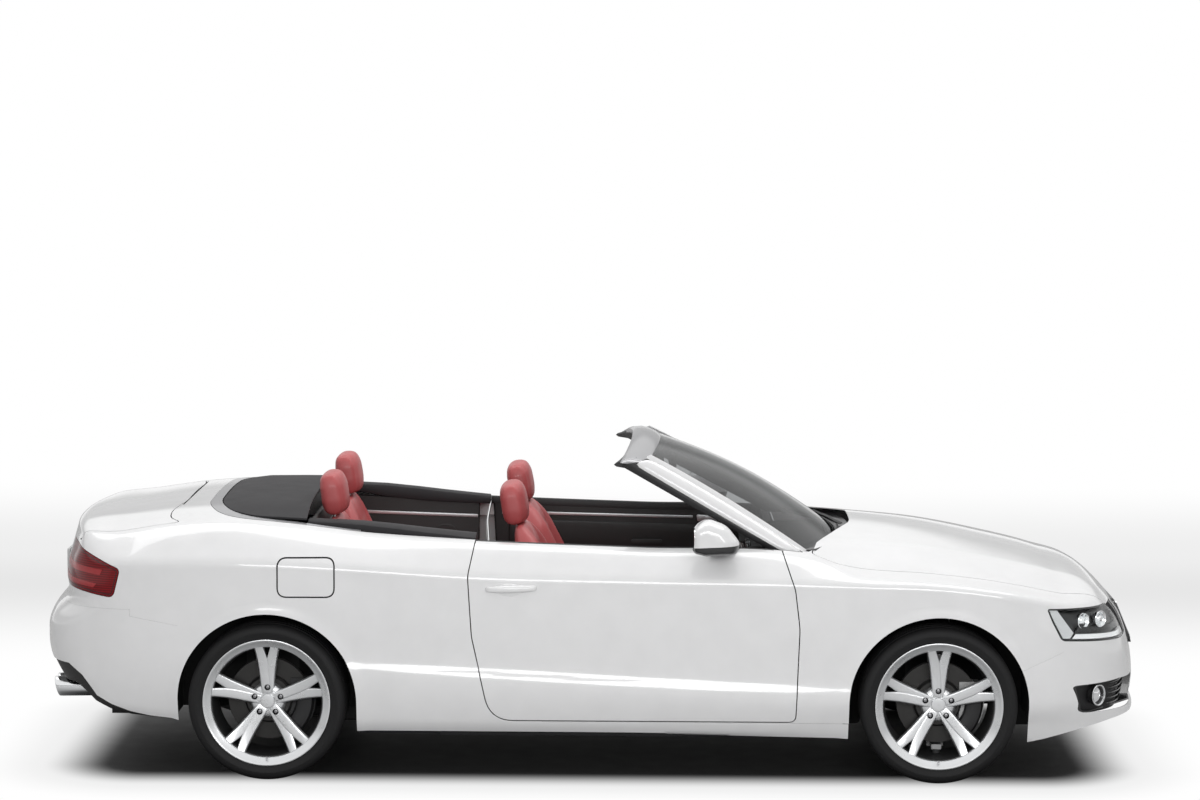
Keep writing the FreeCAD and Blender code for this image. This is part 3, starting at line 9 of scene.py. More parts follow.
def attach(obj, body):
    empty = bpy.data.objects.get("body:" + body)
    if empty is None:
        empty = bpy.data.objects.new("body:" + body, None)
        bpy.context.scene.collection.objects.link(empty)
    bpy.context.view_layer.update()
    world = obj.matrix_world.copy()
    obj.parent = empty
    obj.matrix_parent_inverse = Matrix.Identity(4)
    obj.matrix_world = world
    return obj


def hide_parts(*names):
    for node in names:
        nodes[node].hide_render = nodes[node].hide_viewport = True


# ---------------------------------------------------------------------------
# Studio: a white seamless floor under a wide soft sky, with one long lamp over
# the car and a fill on its near side. The camera stands well off the right side.
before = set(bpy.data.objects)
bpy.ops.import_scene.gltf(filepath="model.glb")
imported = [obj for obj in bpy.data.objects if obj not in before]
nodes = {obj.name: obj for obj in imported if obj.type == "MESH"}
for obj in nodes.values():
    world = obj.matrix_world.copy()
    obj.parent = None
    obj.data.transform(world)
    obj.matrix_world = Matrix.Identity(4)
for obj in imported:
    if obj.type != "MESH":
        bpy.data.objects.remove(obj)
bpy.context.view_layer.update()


def plain_material(name, colour, rough=0.5, metal=0.0, coat=0.0, grain=0.0, grain_size=300.0, depth=0.0003):
    """A finish with its slight unevenness of colour and gloss, and a fine grain if it has one."""
    made = bpy.data.materials.new(name)
    made.use_nodes = True
    tree = made.node_tree
    shader = tree.nodes["Principled BSDF"]
    shader.inputs["Metallic"].default_value = metal
    shader.inputs["Coat Weight"].default_value = coat
    shader.inputs["Coat Roughness"].default_value = 0.03
    place = tree.nodes.new("ShaderNodeTexCoord")
    drift = tree.nodes.new("ShaderNodeTexNoise")
    drift.inputs["Scale"].default_value = 9.0
    drift.inputs["Detail"].default_value = 4.0
    tree.links.new(place.outputs["Object"], drift.inputs["Vector"])
    tone = tree.nodes.new("ShaderNodeMix")
    tone.data_type = "RGBA"
    tone.inputs[6].default_value = (*[c * 0.95 for c in colour], 1)
    tone.inputs[7].default_value = (*[min(1.0, c * 1.05) for c in colour], 1)
    tree.links.new(drift.outputs["Fac"], tone.inputs[0])
    tree.links.new(tone.outputs[2], shader.inputs["Base Color"])
    gloss = tree.nodes.new("ShaderNodeMapRange")
    gloss.inputs["To Min"].default_value = rough * 0.88
    gloss.inputs["To Max"].default_value = min(1.0, rough * 1.12)
    tree.links.new(drift.outputs["Fac"], gloss.inputs["Value"])
    tree.links.new(gloss.outputs["Result"], shader.inputs["Roughness"])
    if grain > 0:
        pebble = tree.nodes.new("ShaderNodeTexVoronoi")
        pebble.inputs["Scale"].default_value = grain_size
        pebble.feature = "SMOOTH_F1"
        tree.links.new(place.outputs["Object"], pebble.inputs["Vector"])
        bump = tree.nodes.new("ShaderNodeBump")
        bump.inputs["Strength"].default_value = grain
        bump.inputs["Distance"].default_value = depth
        tree.links.new(pebble.outputs["Distance"], bump.inputs["Height"])
        tree.links.new(bump.outputs["Normal"], shader.inputs["Normal"])
    return made


bpy.ops.object.select_all(action="DESELECT")
bpy.ops.mesh.primitive_plane_add(size=60)
floor = bpy.context.object
floor.name = "studio_floor"
floor_finish = plain_material("floor_white", (0.5, 0.5, 0.5), 0.6)
floor.data.materials.append(floor_finish)

# Seen by the camera the floor turns plain white beyond the car's shadow, with a faint grey band of painted
# shade where a studio's floor would curve up into its wall; under the car the floor's own colour is painted
# near black, a painted shadow.
tree = floor_finish.node_tree
shader = tree.nodes["Principled BSDF"]
ending = tree.nodes["Material Output"]
where = tree.nodes.new("ShaderNodeTexCoord")
split = tree.nodes.new("ShaderNodeSeparateXYZ")
tree.links.new(where.outputs["Object"], split.inputs[0])


def sums(tree, operation, first, second=None):
    """One step of arithmetic on values or sockets."""
    node = tree.nodes.new("ShaderNodeMath")
    node.operation = operation
    for i, value in enumerate((first, second)):
        if value is None:
            continue
        if isinstance(value, (int, float)):
            node.inputs[i].default_value = value
        else:
            tree.links.new(value, node.inputs[i])
    return node.outputs[0]


def ramp(tree, value, low, high, stops):
    """Grey levels (place from 0 to 1, level) spread between two values."""
    spread = tree.nodes.new("ShaderNodeMapRange")
    spread.inputs["From Min"].default_value, spread.inputs["From Max"].default_value = low, high
    tree.links.new(value, spread.inputs["Value"])
    levels = tree.nodes.new("ShaderNodeValToRGB")
    marks = levels.color_ramp
    marks.interpolation = "EASE"
    marks.elements[0].position, marks.elements[0].color = stops[0][0], (*[stops[0][1]] * 3, 1)
    marks.elements[1].position, marks.elements[1].color = stops[-1][0], (*[stops[-1][1]] * 3, 1)
    for place, level in stops[1:-1]:
        marks.elements.new(place).color = (level, level, level, 1)
    tree.links.new(spread.outputs["Result"], levels.inputs["Fac"])
    return levels.outputs["Color"]


def beyond(axis, half):
    """How far a place on the floor lies past half a length or a width."""
    from_middle = sums(tree, "ABSOLUTE", split.outputs[axis])
    return sums(tree, "MAXIMUM", sums(tree, "SUBTRACT", from_middle, half), 0.0)


squares = [sums(tree, "MULTIPLY", part, part) for part in (beyond("X", 1.85), beyond("Y", 0.55))]
away = sums(tree, "SQRT", sums(tree, "ADD", *squares))
FADE = 1.3  # how far out from under the car the floor turns white
# Painted shadow: the floor's own colour is near black under the car and lightens to mid grey outside it,
# which also dims the light bounced up onto the sills.
floor_levels_painted_shadow = [(0.0, 0.012), (0.24, 0.03), (0.48, 0.5), (1.0, 0.55)]
tree.links.new(ramp(tree, away, 0.0, FADE, floor_levels_painted_shadow), shader.inputs["Base Color"])
bright = tree.nodes.new("ShaderNodeEmission")
# Painted shade: a faint grey band in the white, where a studio floor would curve up into a wall that the
# scene does not have.
painted_cove_shade_levels = [(0.0, 1.0), (0.06, 1.0), (0.15, 0.8), (0.2, 0.86), (0.32, 1.0)]
tree.links.new(ramp(tree, split.outputs["Y"], 0.0, 30.0, painted_cove_shade_levels), bright.inputs["Color"])
rays = tree.nodes.new("ShaderNodeLightPath")
plain = tree.nodes.new("ShaderNodeMixShader")
seen = sums(tree, "MAXIMUM", rays.outputs["Is Camera Ray"], rays.outputs["Is Transmission Ray"])
clear_levels = [(0.0, 0.0), (0.13, 0.0), (0.36, 0.85), (0.6, 1.0)]
clear = sums(tree, "MULTIPLY", ramp(tree, away, 0.0, FADE, clear_levels), seen)
tree.links.new(clear, plain.inputs[0])
tree.links.new(shader.outputs[0], plain.inputs[1])
tree.links.new(bright.outputs[0], plain.inputs[2])
tree.links.new(plain.outputs[0], ending.inputs["Surface"])

sky = bpy.data.worlds.new("studio_sky")
bpy.context.scene.world = sky
sky.use_nodes = True
tree = sky.node_tree
tree.nodes.clear()
out = tree.nodes.new("ShaderNodeOutputWorld")
where = tree.nodes.new("ShaderNodeTexCoord")
split = tree.nodes.new("ShaderNodeSeparateXYZ")
tree.links.new(where.outputs["Generated"], split.inputs[0])
soft = tree.nodes.new("ShaderNodeBackground")
soft.inputs["Strength"].default_value = 0.62
sky_levels = [(0.0, 0.8), (0.1, 0.62), (0.22, 0.55), (0.42, 0.9), (0.6, 1.0), (1.0, 1.0)]
tree.links.new(ramp(tree, split.outputs["Z"], 0.0, 1.0, sky_levels), soft.inputs["Color"])
studio = tree.nodes.new("ShaderNodeBackground")
mirrored_levels = [(0.0, 0.95), (0.08, 0.55), (0.2, 0.42), (0.3, 0.95), (0.6, 1.0), (1.0, 1.0)]
tree.links.new(ramp(tree, split.outputs["Z"], 0.0, 1.0, mirrored_levels), studio.inputs["Color"])
white = tree.nodes.new("ShaderNodeBackground")
white.inputs["Color"].default_value = (1, 1, 1, 1)
rays = tree.nodes.new("ShaderNodeLightPath")
mirrored_rays = tree.nodes.new("ShaderNodeMixShader")
tree.links.new(rays.outputs["Is Glossy Ray"], mirrored_rays.inputs[0])
tree.links.new(soft.outputs[0], mirrored_rays.inputs[1])
tree.links.new(studio.outputs[0], mirrored_rays.inputs[2])
choice = tree.nodes.new("ShaderNodeMixShader")
seen = sums(tree, "MAXIMUM", rays.outputs["Is Camera Ray"], rays.outputs["Is Transmission Ray"])
tree.links.new(seen, choice.inputs[0])
tree.links.new(mirrored_rays.outputs[0], choice.inputs[1])
tree.links.new(white.outputs[0], choice.inputs[2])
tree.links.new(choice.outputs[0], out.inputs["Surface"])


def lamp(name, place, aim, size, power):
    """A rectangular lamp at a place, shining towards an aim."""
    light = bpy.data.lights.new(name, "AREA")
    light.shape = "RECTANGLE"
    light.size, light.size_y = size
    light.energy = power
    thing = bpy.data.objects.new(name, light)
    bpy.context.collection.objects.link(thing)
    thing.location = place
    thing.rotation_euler = (Vector(aim) - Vector(place)).to_track_quat("-Z", "Y").to_euler()


lamp("long_top", (0.0, 0.7, 4.6), (0, 0.0, 0.6), (7.0, 2.4), 118)
lamp("near_fill", (1.0, -8.0, 2.9), (0, 0, 0.6), (7.5, 1.6), 215)

view = bpy.data.cameras.new("camera")
camera = bpy.data.objects.new("camera", view)
bpy.context.collection.objects.link(camera)
bpy.context.scene.camera = camera
view.sensor_width, view.lens = 36.0, 101.06
view.clip_end = 200
turn, dip, lean = math.radians(0.649), math.radians(5.362), math.radians(0.225)
ahead = Vector((-math.sin(turn) * math.cos(dip), math.cos(turn) * math.cos(dip), -math.sin(dip)))
right = Vector((math.cos(turn), math.sin(turn), 0))
upward = right.cross(ahead)
side = right * math.cos(lean) + upward * math.sin(lean)
upward = upward * math.cos(lean) - right * math.sin(lean)
camera.matrix_world = Matrix((
    (side.x, upward.x, -ahead.x, 0.187),
    (side.y, upward.y, -ahead.y, -14.5),
    (side.z, upward.z, -ahead.z, 2.85),
    (0, 0, 0, 1)))
bpy.context.scene.view_settings.view_transform = "Standard"

# ---------------------------------------------------------------------------
# The body's outer form: one continuous pressed-steel surface that the doors, fenders,
# lids and bumpers are all cut from. It is given by heights and half widths at
# stations along the car, and is found along rays that leave a line inside.
along = np.array([-2.35, -2.15, -1.96, -1.72, -1.5, -1.24, -0.95, -0.5, 0.2, 0.85, 1.1, 1.42, 1.7,
        1.93, 2.1, 2.28])
flank_rows = np.array([  # heights and half widths of foot, sill line, lower crease, band, middle, shoulder
    ([300, 275, 255, 228, 205, 196, 196, 195, 192, 180, 172, 165, 158, 152, 150, 150],
     [600, 720, 800, 836, 850, 856, 856, 856, 856, 856, 856, 850, 838, 808, 740, 640]),
    ([350, 330, 300, 280, 262, 255, 252, 249, 247, 240, 238, 235, 232, 230, 230, 230],
     [640, 750, 826, 858, 872, 879, 882, 884, 885, 884, 882, 876, 862, 828, 760, 650]),
    ([480, 470, 465, 462, 460, 458, 452, 424, 385, 358, 352, 350, 345, 340, 340, 340],
     [665, 785, 860, 898, 912, 916, 914, 914, 914, 913, 914, 914, 905, 862, 790, 670]),
    ([560, 550, 545, 530, 520, 515, 503, 484, 450, 424, 420, 420, 415, 410, 410, 410],
     [672, 792, 868, 904, 916, 918, 905, 899, 898, 900, 905, 914, 906, 865, 794, 672]),
    ([720, 720, 720, 710, 700, 700, 690, 660, 640, 625, 620, 620, 600, 570, 550, 540],
     [676, 798, 876, 909, 921, 924, 917, 908, 905, 908, 912, 916, 905, 864, 790, 668]),
    ([860, 875, 890, 899, 901, 896, 880, 849, 833, 826, 826, 819, 786, 735, 690, 650],
     [664, 784, 868, 905, 919, 924, 919, 911, 908, 912, 917, 918, 902, 846, 768, 650]),
]) / 1000
crown_high = np.array([970, 1030, 1057, 1088, 1103, 1105, 1080, 1020, 985, 1010, 1000, 963, 906, 850,
        789, 610]) / 1000
ridge_wide = np.array([400, 425, 440, 450, 460, 470, 480, 500, 520, 520, 510, 500, 480, 450,
        415, 360]) / 1000
ridge_high = np.array([950, 1020, 1045, 1076, 1088, 1090, 1060, 1005, 975, 972, 955, 928, 878, 825,
        770, 600]) / 1000
edge_wide = np.array([560, 660, 705, 735, 752, 764, 772, 785, 795, 792, 776, 768, 743, 698,
        632, 520]) / 1000
edge_high = np.array([920, 988, 1000, 1036, 1048, 1026, 994, 971, 945, 922, 874, 849, 811, 763,
        735, 590]) / 1000
nose_high = np.array([140, 200, 252, 274, 302, 345, 420, 500, 560, 620, 660, 700, 746, 790,
        850, 950]) / 1000
nose_reach = np.array([2285, 2306, 2308, 2300, 2290, 2297, 2299, 2289, 2273.5, 2252, 2233, 2207.5, 2170,
        2132.5, 2070, 1950]) / 1000
tail_high = np.array([250, 300, 390, 430, 470, 510, 570, 615, 655, 690, 715, 800, 860, 910, 950, 980, 1005,
        1040, 1080]) / 1000
tail_reach = np.array([2190, 2215, 2258, 2280, 2298, 2308, 2311, 2308, 2290, 2262, 2246, 2246, 2240, 2226,
        2216, 2208, 2200, 2160, 2050]) / 1000
tail_bend = np.array([110, 110, 110, 110, 110, 110, 110, 110, 120, 140, 150, 160, 170, 180, 190, 200, 200,
        200, 200]) / 1000


def flow(places, values, at):
    """A smooth curve through a table."""
    values = np.array(values, float)
    slopes = np.gradient(values, places)
    k = np.clip(np.searchsorted(places, at) - 1, 0, len(places) - 2)
    gap = places[k + 1] - places[k]
    t = np.clip((at - places[k]) / gap, 0, 1)
    return ((2 * t**3 - 3 * t**2 + 1) * values[k] + (t**3 - 2 * t**2 + t) * gap * slopes[k]
            + (3 * t**2 - 2 * t**3) * values[k + 1] + (t**3 - t**2) * gap * slopes[k + 1])


def across(places, values, at, level_start=False):
    """A smooth curve through rows of places and values, each row one knot."""
    places, values = np.stack(places), np.stack(values)
    steep = (values[1:] - values[:-1]) / (places[1:] - places[:-1])
    slopes = np.zeros_like(values)
    slopes[-1] = steep[-1]
    if not level_start:
        slopes[0] = steep[0]
    same = steep[:-1] * steep[1:] > 0
    slopes[1:-1] = np.where(same, 2 * steep[:-1] * steep[1:] / np.where(same, steep[:-1] + steep[1:], 1), 0)
    k = np.clip((places[1:-1] <= at).sum(axis=0), 0, len(places) - 2)[None]
    a, b = np.take_along_axis(places, k, 0)[0], np.take_along_axis(places, k + 1, 0)[0]
    va, vb = np.take_along_axis(values, k, 0)[0], np.take_along_axis(values, k + 1, 0)[0]
    sa, sb = np.take_along_axis(slopes, k, 0)[0], np.take_along_axis(slopes, k + 1, 0)[0]
    t = np.clip((at - a) / (b - a), 0, 1)
    return ((2 * t**3 - 3 * t**2 + 1) * va + (t**3 - 2 * t**2 + t) * (b - a) * sa
            + (3 * t**2 - 2 * t**3) * vb + (t**3 - t**2) * (b - a) * sb)


def larger(a, b, soft):
    """The larger of two, with the corner between them rounded."""
    near = np.maximum(soft - np.abs(a - b), 0) / soft
    return np.maximum(a, b) + near * near * soft / 4


REAR_AXLE, FRONT_AXLE, ARCH_R, AXLE_Z = -1.3275, 1.4235, 0.368, 0.323


def flank_out(x, z):
    """Half width of the body at a place along and up, with the lip round each wheel."""
    tables = [(flow(along, high, x), flow(along, wide, x)) for high, wide in flank_rows]
    tables.append((tables[-1][0] + 0.05, tables[-1][1] - 0.002))
    wide = across([t[0] for t in tables], [t[1] for t in tables], z)
    for axle in (REAR_AXLE, FRONT_AXLE):
        from_arch = np.hypot(x - axle, np.maximum(z, AXLE_Z) - AXLE_Z) - ARCH_R
        wide = wide + 0.007 * np.exp(-(np.maximum(from_arch, 0) / 0.028) ** 2)
    return wide


def crown_top(x, y):
    """Height of the top of the body at a place along and across."""
    crease_y, crease_z = flow(along, flank_rows[5][1], x), flow(along, flank_rows[5][0], x)
    ridge, edge = flow(along, ridge_wide, x), flow(along, edge_wide, x)
    return across(
        [np.zeros_like(x), ridge, edge, crease_y + 0.01, crease_y + 0.2],
        [flow(along, crown_high, x), flow(along, ridge_high, x), flow(along, edge_high, x),
         crease_z - 0.004, crease_z - 0.2],
        y, level_start=True)


def outside(x, y, z):
    """Below zero inside the body, and about the distance beyond its surface outside it."""
    y = np.abs(y)
    side = y - flank_out(x, z)
    nose = x - (flow(nose_high, nose_reach, z) - 0.14 * y**2 - 0.26 * y**6)
    tail = -x - (flow(tail_high, tail_reach, z) - flow(tail_high, tail_bend, z) * y**2 - 0.1 * y**6)
    top = z - crown_top(x, y)
    foot = flow(along, flank_rows[0][0], x) - z
    body = larger(larger(side, nose, 0.1), tail, 0.11)
    return larger(larger(body, top, 0.022), foot, 0.014)


def formed(name, points, faces, edges=()):
    """A piece from its points and the faces, or the edges, between them."""
    mesh = bpy.data.meshes.new(name)
    mesh.from_pydata(points, edges, faces)
    piece = bpy.data.objects.new(name, mesh)
    bpy.context.collection.objects.link(piece)
    return piece


def put_right(piece):
    """Turns every face of a closed piece outwards."""
    work = bmesh.new()
    work.from_mesh(piece.data)
    bmesh.ops.recalc_face_normals(work, faces=work.faces)
    if work.calc_volume(signed=True) < 0:
        bmesh.ops.reverse_faces(work, faces=work.faces)
    work.to_mesh(piece.data)
    work.free()
    return piece


def net_faces(rows, columns):
    """Faces of a net of points, of the same net under it, and of the edge between them."""
    net = np.arange(rows * columns).reshape(rows, columns)
    faces = np.stack([net[:-1, :-1], net[:-1, 1:], net[1:, 1:], net[1:, :-1]], -1).reshape(-1, 4)
    rim = np.concatenate([net[0, :], net[1:, -1], net[-1, -2::-1], net[-2:0:-1, 0]])
    after = np.roll(rim, -1)
    edge = np.stack([rim, rim + net.size, after + net.size, after], -1)
    return np.concatenate([faces, faces[:, ::-1] + net.size, edge]).tolist()


def leaving(starts, ways, depth=0.0, far=1.7):
    """Where rays leave the outer form, sunk by a depth: starts and ways are nets of points."""
    low, high = np.zeros(starts.shape[:2]), np.full(starts.shape[:2], far)
    for _ in range(26):
        middle = (low + high) / 2
        at = starts + ways * middle[..., None]
        out = outside(at[..., 0], at[..., 1], at[..., 2]) + depth > 0
        high, low = np.where(out, middle, high), np.where(out, low, middle)
    return starts + ways * low[..., None]


def skin(name, starts, ways, thick=0.004, lift=0.0):
    """A closed sheet on the outer form, with a second net of points inside the first."""
    outer, inner = leaving(starts, ways, -lift), leaving(starts, ways, thick - lift)
    points = np.concatenate([outer.reshape(-1, 3), inner.reshape(-1, 3)])
    return put_right(formed(name, points.tolist(), net_faces(*starts.shape[:2])))


# Rays for the right flank: a fan round the nose, straight out along the side, a fan
# round the tail; each column climbs from under the sill to over the shoulder.
fan = np.radians(np.arange(0, 90, 1.25))
core_x = np.concatenate([np.full(len(fan), 1.7), np.arange(1.7, -1.6001, -0.0165), np.full(len(fan), -1.6)])
heading = np.concatenate([fan, np.full(len(core_x) - 2 * len(fan), math.pi / 2),
        math.pi / 2 + np.radians(np.arange(1.25, 90.1, 1.25))])
heading[0] = math.radians(-0.6)
heading[-1] = math.radians(180.6)
climb = np.radians(np.concatenate([np.arange(-44, -6, 1.0), np.arange(-6, 8, 0.8), np.arange(8, 39, 0.62)]))
side_ways = np.stack([np.cos(climb)[:, None] * np.cos(heading)[None],
        -np.cos(climb)[:, None] * np.sin(heading)[None],
        np.repeat(np.sin(climb)[:, None], len(heading), 1)], -1)
side_starts = np.zeros_like(side_ways)
side_starts[..., 0] = core_x[None]
side_starts[..., 2] = 0.6


def rounded(corners, steps=9):
    """Outline through corners (u, v, radius), with each corner turned on its radius."""
    line = []
    for i, (u, v, radius) in enumerate(corners):
        here = Vector((u, v))
        back = Vector(corners[i - 1][:2]) - here
        on = Vector(corners[(i + 1) % len(corners)][:2]) - here
        if radius <= 0:
            line.append(tuple(here))
            continue
        half = back.angle(on) / 2
        cut = min(radius / math.tan(half), back.length * 0.499, on.length * 0.499)
        first, last = here + back.normalized() * cut, here + on.normalized() * cut
        for k in range(steps + 1):
            t = k / steps
            line.append(tuple(first * (1 - t) ** 2 + here * 2 * t * (1 - t) + last * t**2))
    return line


def swollen(line, amount):
    """The outline moved out all round by an amount, or in by a negative one."""
    area = sum(a[0] * b[1] - b[0] * a[1] for a, b in zip(line, line[1:] + line[:1]))
    sign = 1 if area > 0 else -1
    moved = []
    for i, point in enumerate(line):
        here = Vector(point)
        back, on = here - Vector(line[i - 1]), Vector(line[(i + 1) % len(line)]) - here
        if back.length <= 1e-9:
            back = on
        elif on.length <= 1e-9:
            on = back
        back, on = back.normalized(), on.normalized()
        back_out, on_out = Vector((back.y, -back.x)), Vector((on.y, -on.x))
        push = (back_out + on_out) / max(0.4, 1 + back_out.dot(on_out))
        moved.append(tuple(here + push * amount * sign))
    return moved


def cutter(line, way, low, high):
    """A block with the outline's shape, pushed along x, y or z from low to high."""
    def order(u, v, w):
        return {"x": (w, u, v), "y": (u, w, v), "z": (u, v, w)}[way]

    count = len(line)
    points = [order(u, v, low) for u, v in line] + [order(u, v, high) for u, v in line]
    faces = [list(range(count)), list(range(2 * count - 1, count - 1, -1))]
    faces += [[i, i + count, (i + 1) % count + count, (i + 1) % count] for i in range(count)]
    return put_right(formed("cutter", points, faces))


def pick(pieces):
    """Selects these pieces and no others, with the first of them active."""
    bpy.ops.object.select_all(action="DESELECT")
    for piece in pieces:
        piece.select_set(True)
    bpy.context.view_layer.objects.active = pieces[0]


def modified(piece, kind, **settings):
    """Adds one modifier to a piece and applies it."""
    pick([piece])
    change = piece.modifiers.new("change", kind)
    for key, value in settings.items():
        setattr(change, key, value)
    bpy.ops.object.modifier_apply(modifier=change.name)
    return piece


def shaped(piece, tool, way="DIFFERENCE", keep_tool=False):
    """Cuts a piece with a tool, or keeps only what lies in it."""
    saved = piece.data.copy()
    modified(piece, "BOOLEAN", operation=way, object=tool, solver="MANIFOLD")
    if not piece.data.polygons:
        piece.data = saved
        modified(piece, "BOOLEAN", operation=way, object=tool, solver="EXACT")
    if not keep_tool:
        bpy.data.objects.remove(tool)
    return piece


def put(piece, spot, turn=0.0, axis="Z"):
    """Turns a piece by degrees about an axis and moves it to its place."""
    piece.data.transform(Matrix.Translation(spot) @ Matrix.Rotation(math.radians(turn), 4, axis))
    return piece


def twin(piece, name):
    """A copy of a piece under a name of its own."""
    copy = piece.copy()
    copy.data = piece.data.copy()
    copy.name = name
    bpy.context.collection.objects.link(copy)
    return copy


def mirrored(piece, name):
    """The same piece on the car's other side."""
    copy = twin(piece, name)
    copy.data.transform(Matrix.Scale(-1, 4, (0, 1, 0)))
    copy.data.flip_normals()
    return copy


def done(piece, finish, takes=(), body="chassis", angle=35):
    """Gives a piece its finish and ties it to what it moves with."""
    piece.data.materials.clear()
    piece.data.materials.append(finish)
    pick([piece])
    bpy.ops.object.shade_smooth_by_angle(angle=math.radians(angle))
    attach(piece, body)
    if takes:
        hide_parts(*takes)
    return piece


def both_done(piece, finish, takes=(), body="chassis", angle=35):
    """Finishes a right-hand piece and its twin on the left."""
    done(piece, finish, takes, body, angle)
    left_takes = [node.replace("_right", "_left") for node in takes if node.endswith("_right")]
    copy = mirrored(piece, piece.name.replace("_right", "_left"))
    done(copy, finish, left_takes, body.replace("_right", "_left"), angle)


side_sheet = skin("side_sheet", side_starts, side_ways)


# The sheets for the hood and for the trunk lid: rays up from a level line, then a fan
# over the front edge of the hood, or over the lid's rear edge and down its face.
def lid_rays(x_line, low, fan_from, angles, y_line):
    """Rays up from a line along the car, then a fan of them from its end."""
    starts, ways = [], []
    for x in x_line:
        starts.append((x, low))
        ways.append((0.0, 1.0))
    for angle in np.radians(angles):
        starts.append((fan_from, low))
        ways.append((math.cos(angle), math.sin(angle)))
    starts, ways = np.array(starts), np.array(ways)
    all_starts = np.zeros((len(starts), len(y_line), 3))
    all_starts[..., 0], all_starts[..., 1], all_starts[..., 2] = starts[:, :1], y_line[None], starts[:, 1:]
    all_ways = np.zeros_like(all_starts)
    all_ways[..., 0], all_ways[..., 2] = ways[:, :1], ways[:, 1:]
    return all_starts, all_ways


wide_net = np.linspace(-0.8, 0.8, 121)
hood_sheet = skin("hood_sheet", *lid_rays(np.arange(0.86, 1.92, 0.017), 0.5, 1.92,
        np.arange(89, 8, -1.2), wide_net))
lid_sheet = skin("lid_sheet", *lid_rays(np.arange(-1.55, -1.98, -0.012), 0.72, -1.98,
        np.arange(91, 188, 1.0), np.linspace(-0.76, 0.76, 121)))

# ---------------------------------------------------------------------------
# White gloss paint: a pale solid coat under clear lacquer, on every outer panel. The
# panels are cut along the outlines below: the cockpit's edge, door, flap, lamps and lids.
paint = plain_material("white_paint", (0.8, 0.8, 0.805), 0.25, 0.0, 1.0)
GAP = 0.0022  # half of a shut line
SIDE, SIDE_AND_ENDS = ("y", -1.2, -0.5), ("y", -1.2, -0.3)  # how far across the cuts from the right go
UPPER = ("z", 0.5, 1.3)  # how far up and down the cuts from above go
SEAM = 0.0005  # between a bumper and the panel it is clipped to
cabin_line = rounded([(-1.6, 0.5, 0), (-1.618, -0.47, 0.8), (-1.515, -0.712, 0.42), (-1.1, -0.728, 0.8),
        (-0.45, -0.742, 0), (0.74, -0.752, 0.02), (0.895, -0.742, 0.08), (0.94, -0.6, 0.05),
        (1.1, -0.16, 0.35), (1.1, 0.5, 0)])
door_line = rounded([(-0.4325, 1.2, 0), (-0.5045, 0.85, 0.16), (-0.4885, 0.6, 0.26), (-0.4125, 0.251, 0.12),
        (0.8385, 0.251, 0.03), (0.8525, 0.64, 0.3), (0.8325, 0.8, 0.15), (0.7665, 0.99, 0),
        (0.7665, 1.2, 0)])
flap_line = rounded([(-1.2795, 0.762, 0.038), (-1.0475, 0.762, 0.038), (-1.0475, 0.921, 0.038),
        (-1.2795, 0.921, 0.038)])
headlamp_line = rounded([(1.8615, 0.722, 0.008), (2.0495, 0.714, 0.12), (2.3235, 0.706, 0),
        (2.3235, 0.562, 0), (1.925, 0.59, 0.03), (1.884, 0.668, 0.06)])
taillamp_line = rounded([(-2.4275, 0.952, 0), (-2.1335, 0.946, 0.03), (-1.9285, 0.866, 0.022),
        (-1.9575, 0.748, 0.03), (-2.1475, 0.772, 0.06), (-2.4275, 0.79, 0)])


def both_halves_of(line):
    """An outline seen from above, from its half on the right."""
    return line + [(x, -y, *radius) for x, y, *radius in reversed(line)]


hood_line = rounded(both_halves_of([(1.092, -0.2, 0.3), (0.93, -0.6, 0.05), (0.905, -0.742, 0.03),
            (1.0, -0.779, 0.1), (1.42, -0.768, 1.2), (1.7, -0.743, 0.6), (1.93, -0.698, 0.5),
            (2.08, -0.64, 0.4), (2.23, -0.56, 0), (2.34, -0.5, 0)]))
lid_plan = rounded(both_halves_of([(-1.722, -0.3, 0.9), (-1.758, -0.555, 0.7), (-1.75, -0.655, 0.28),
            (-1.692, -0.724, 0.02), (-1.96, -0.705, 0.6), (-2.16, -0.655, 0), (-2.4, -0.6, 0)]))
NOSE_CUT = 0.706


def arch_line(axle, radius=ARCH_R):
    """The opening over a wheel: a half circle on legs that run down."""
    top = [(axle + radius * math.cos(a), AXLE_Z + radius * math.sin(a))
        for a in np.radians(np.arange(0, 181, 3))]
    return top + [(axle - radius, -0.2), (axle + radius, -0.2)]


# ---------------------------------------------------------------------------
# Doors: the outer skins, pressed in steel, painted and hung at the front. Their inner
# sides follow after the windscreen.
door = shaped(twin(side_sheet, "door_skin_right"), cutter(swollen(door_line, -GAP), *SIDE), "INTERSECT")
shaped(door, cutter([(-2, -0.752), (2, -0.752), (2, 0.5), (-2, 0.5)], *UPPER))
both_done(door, paint, ["door_right"], body="door_right")

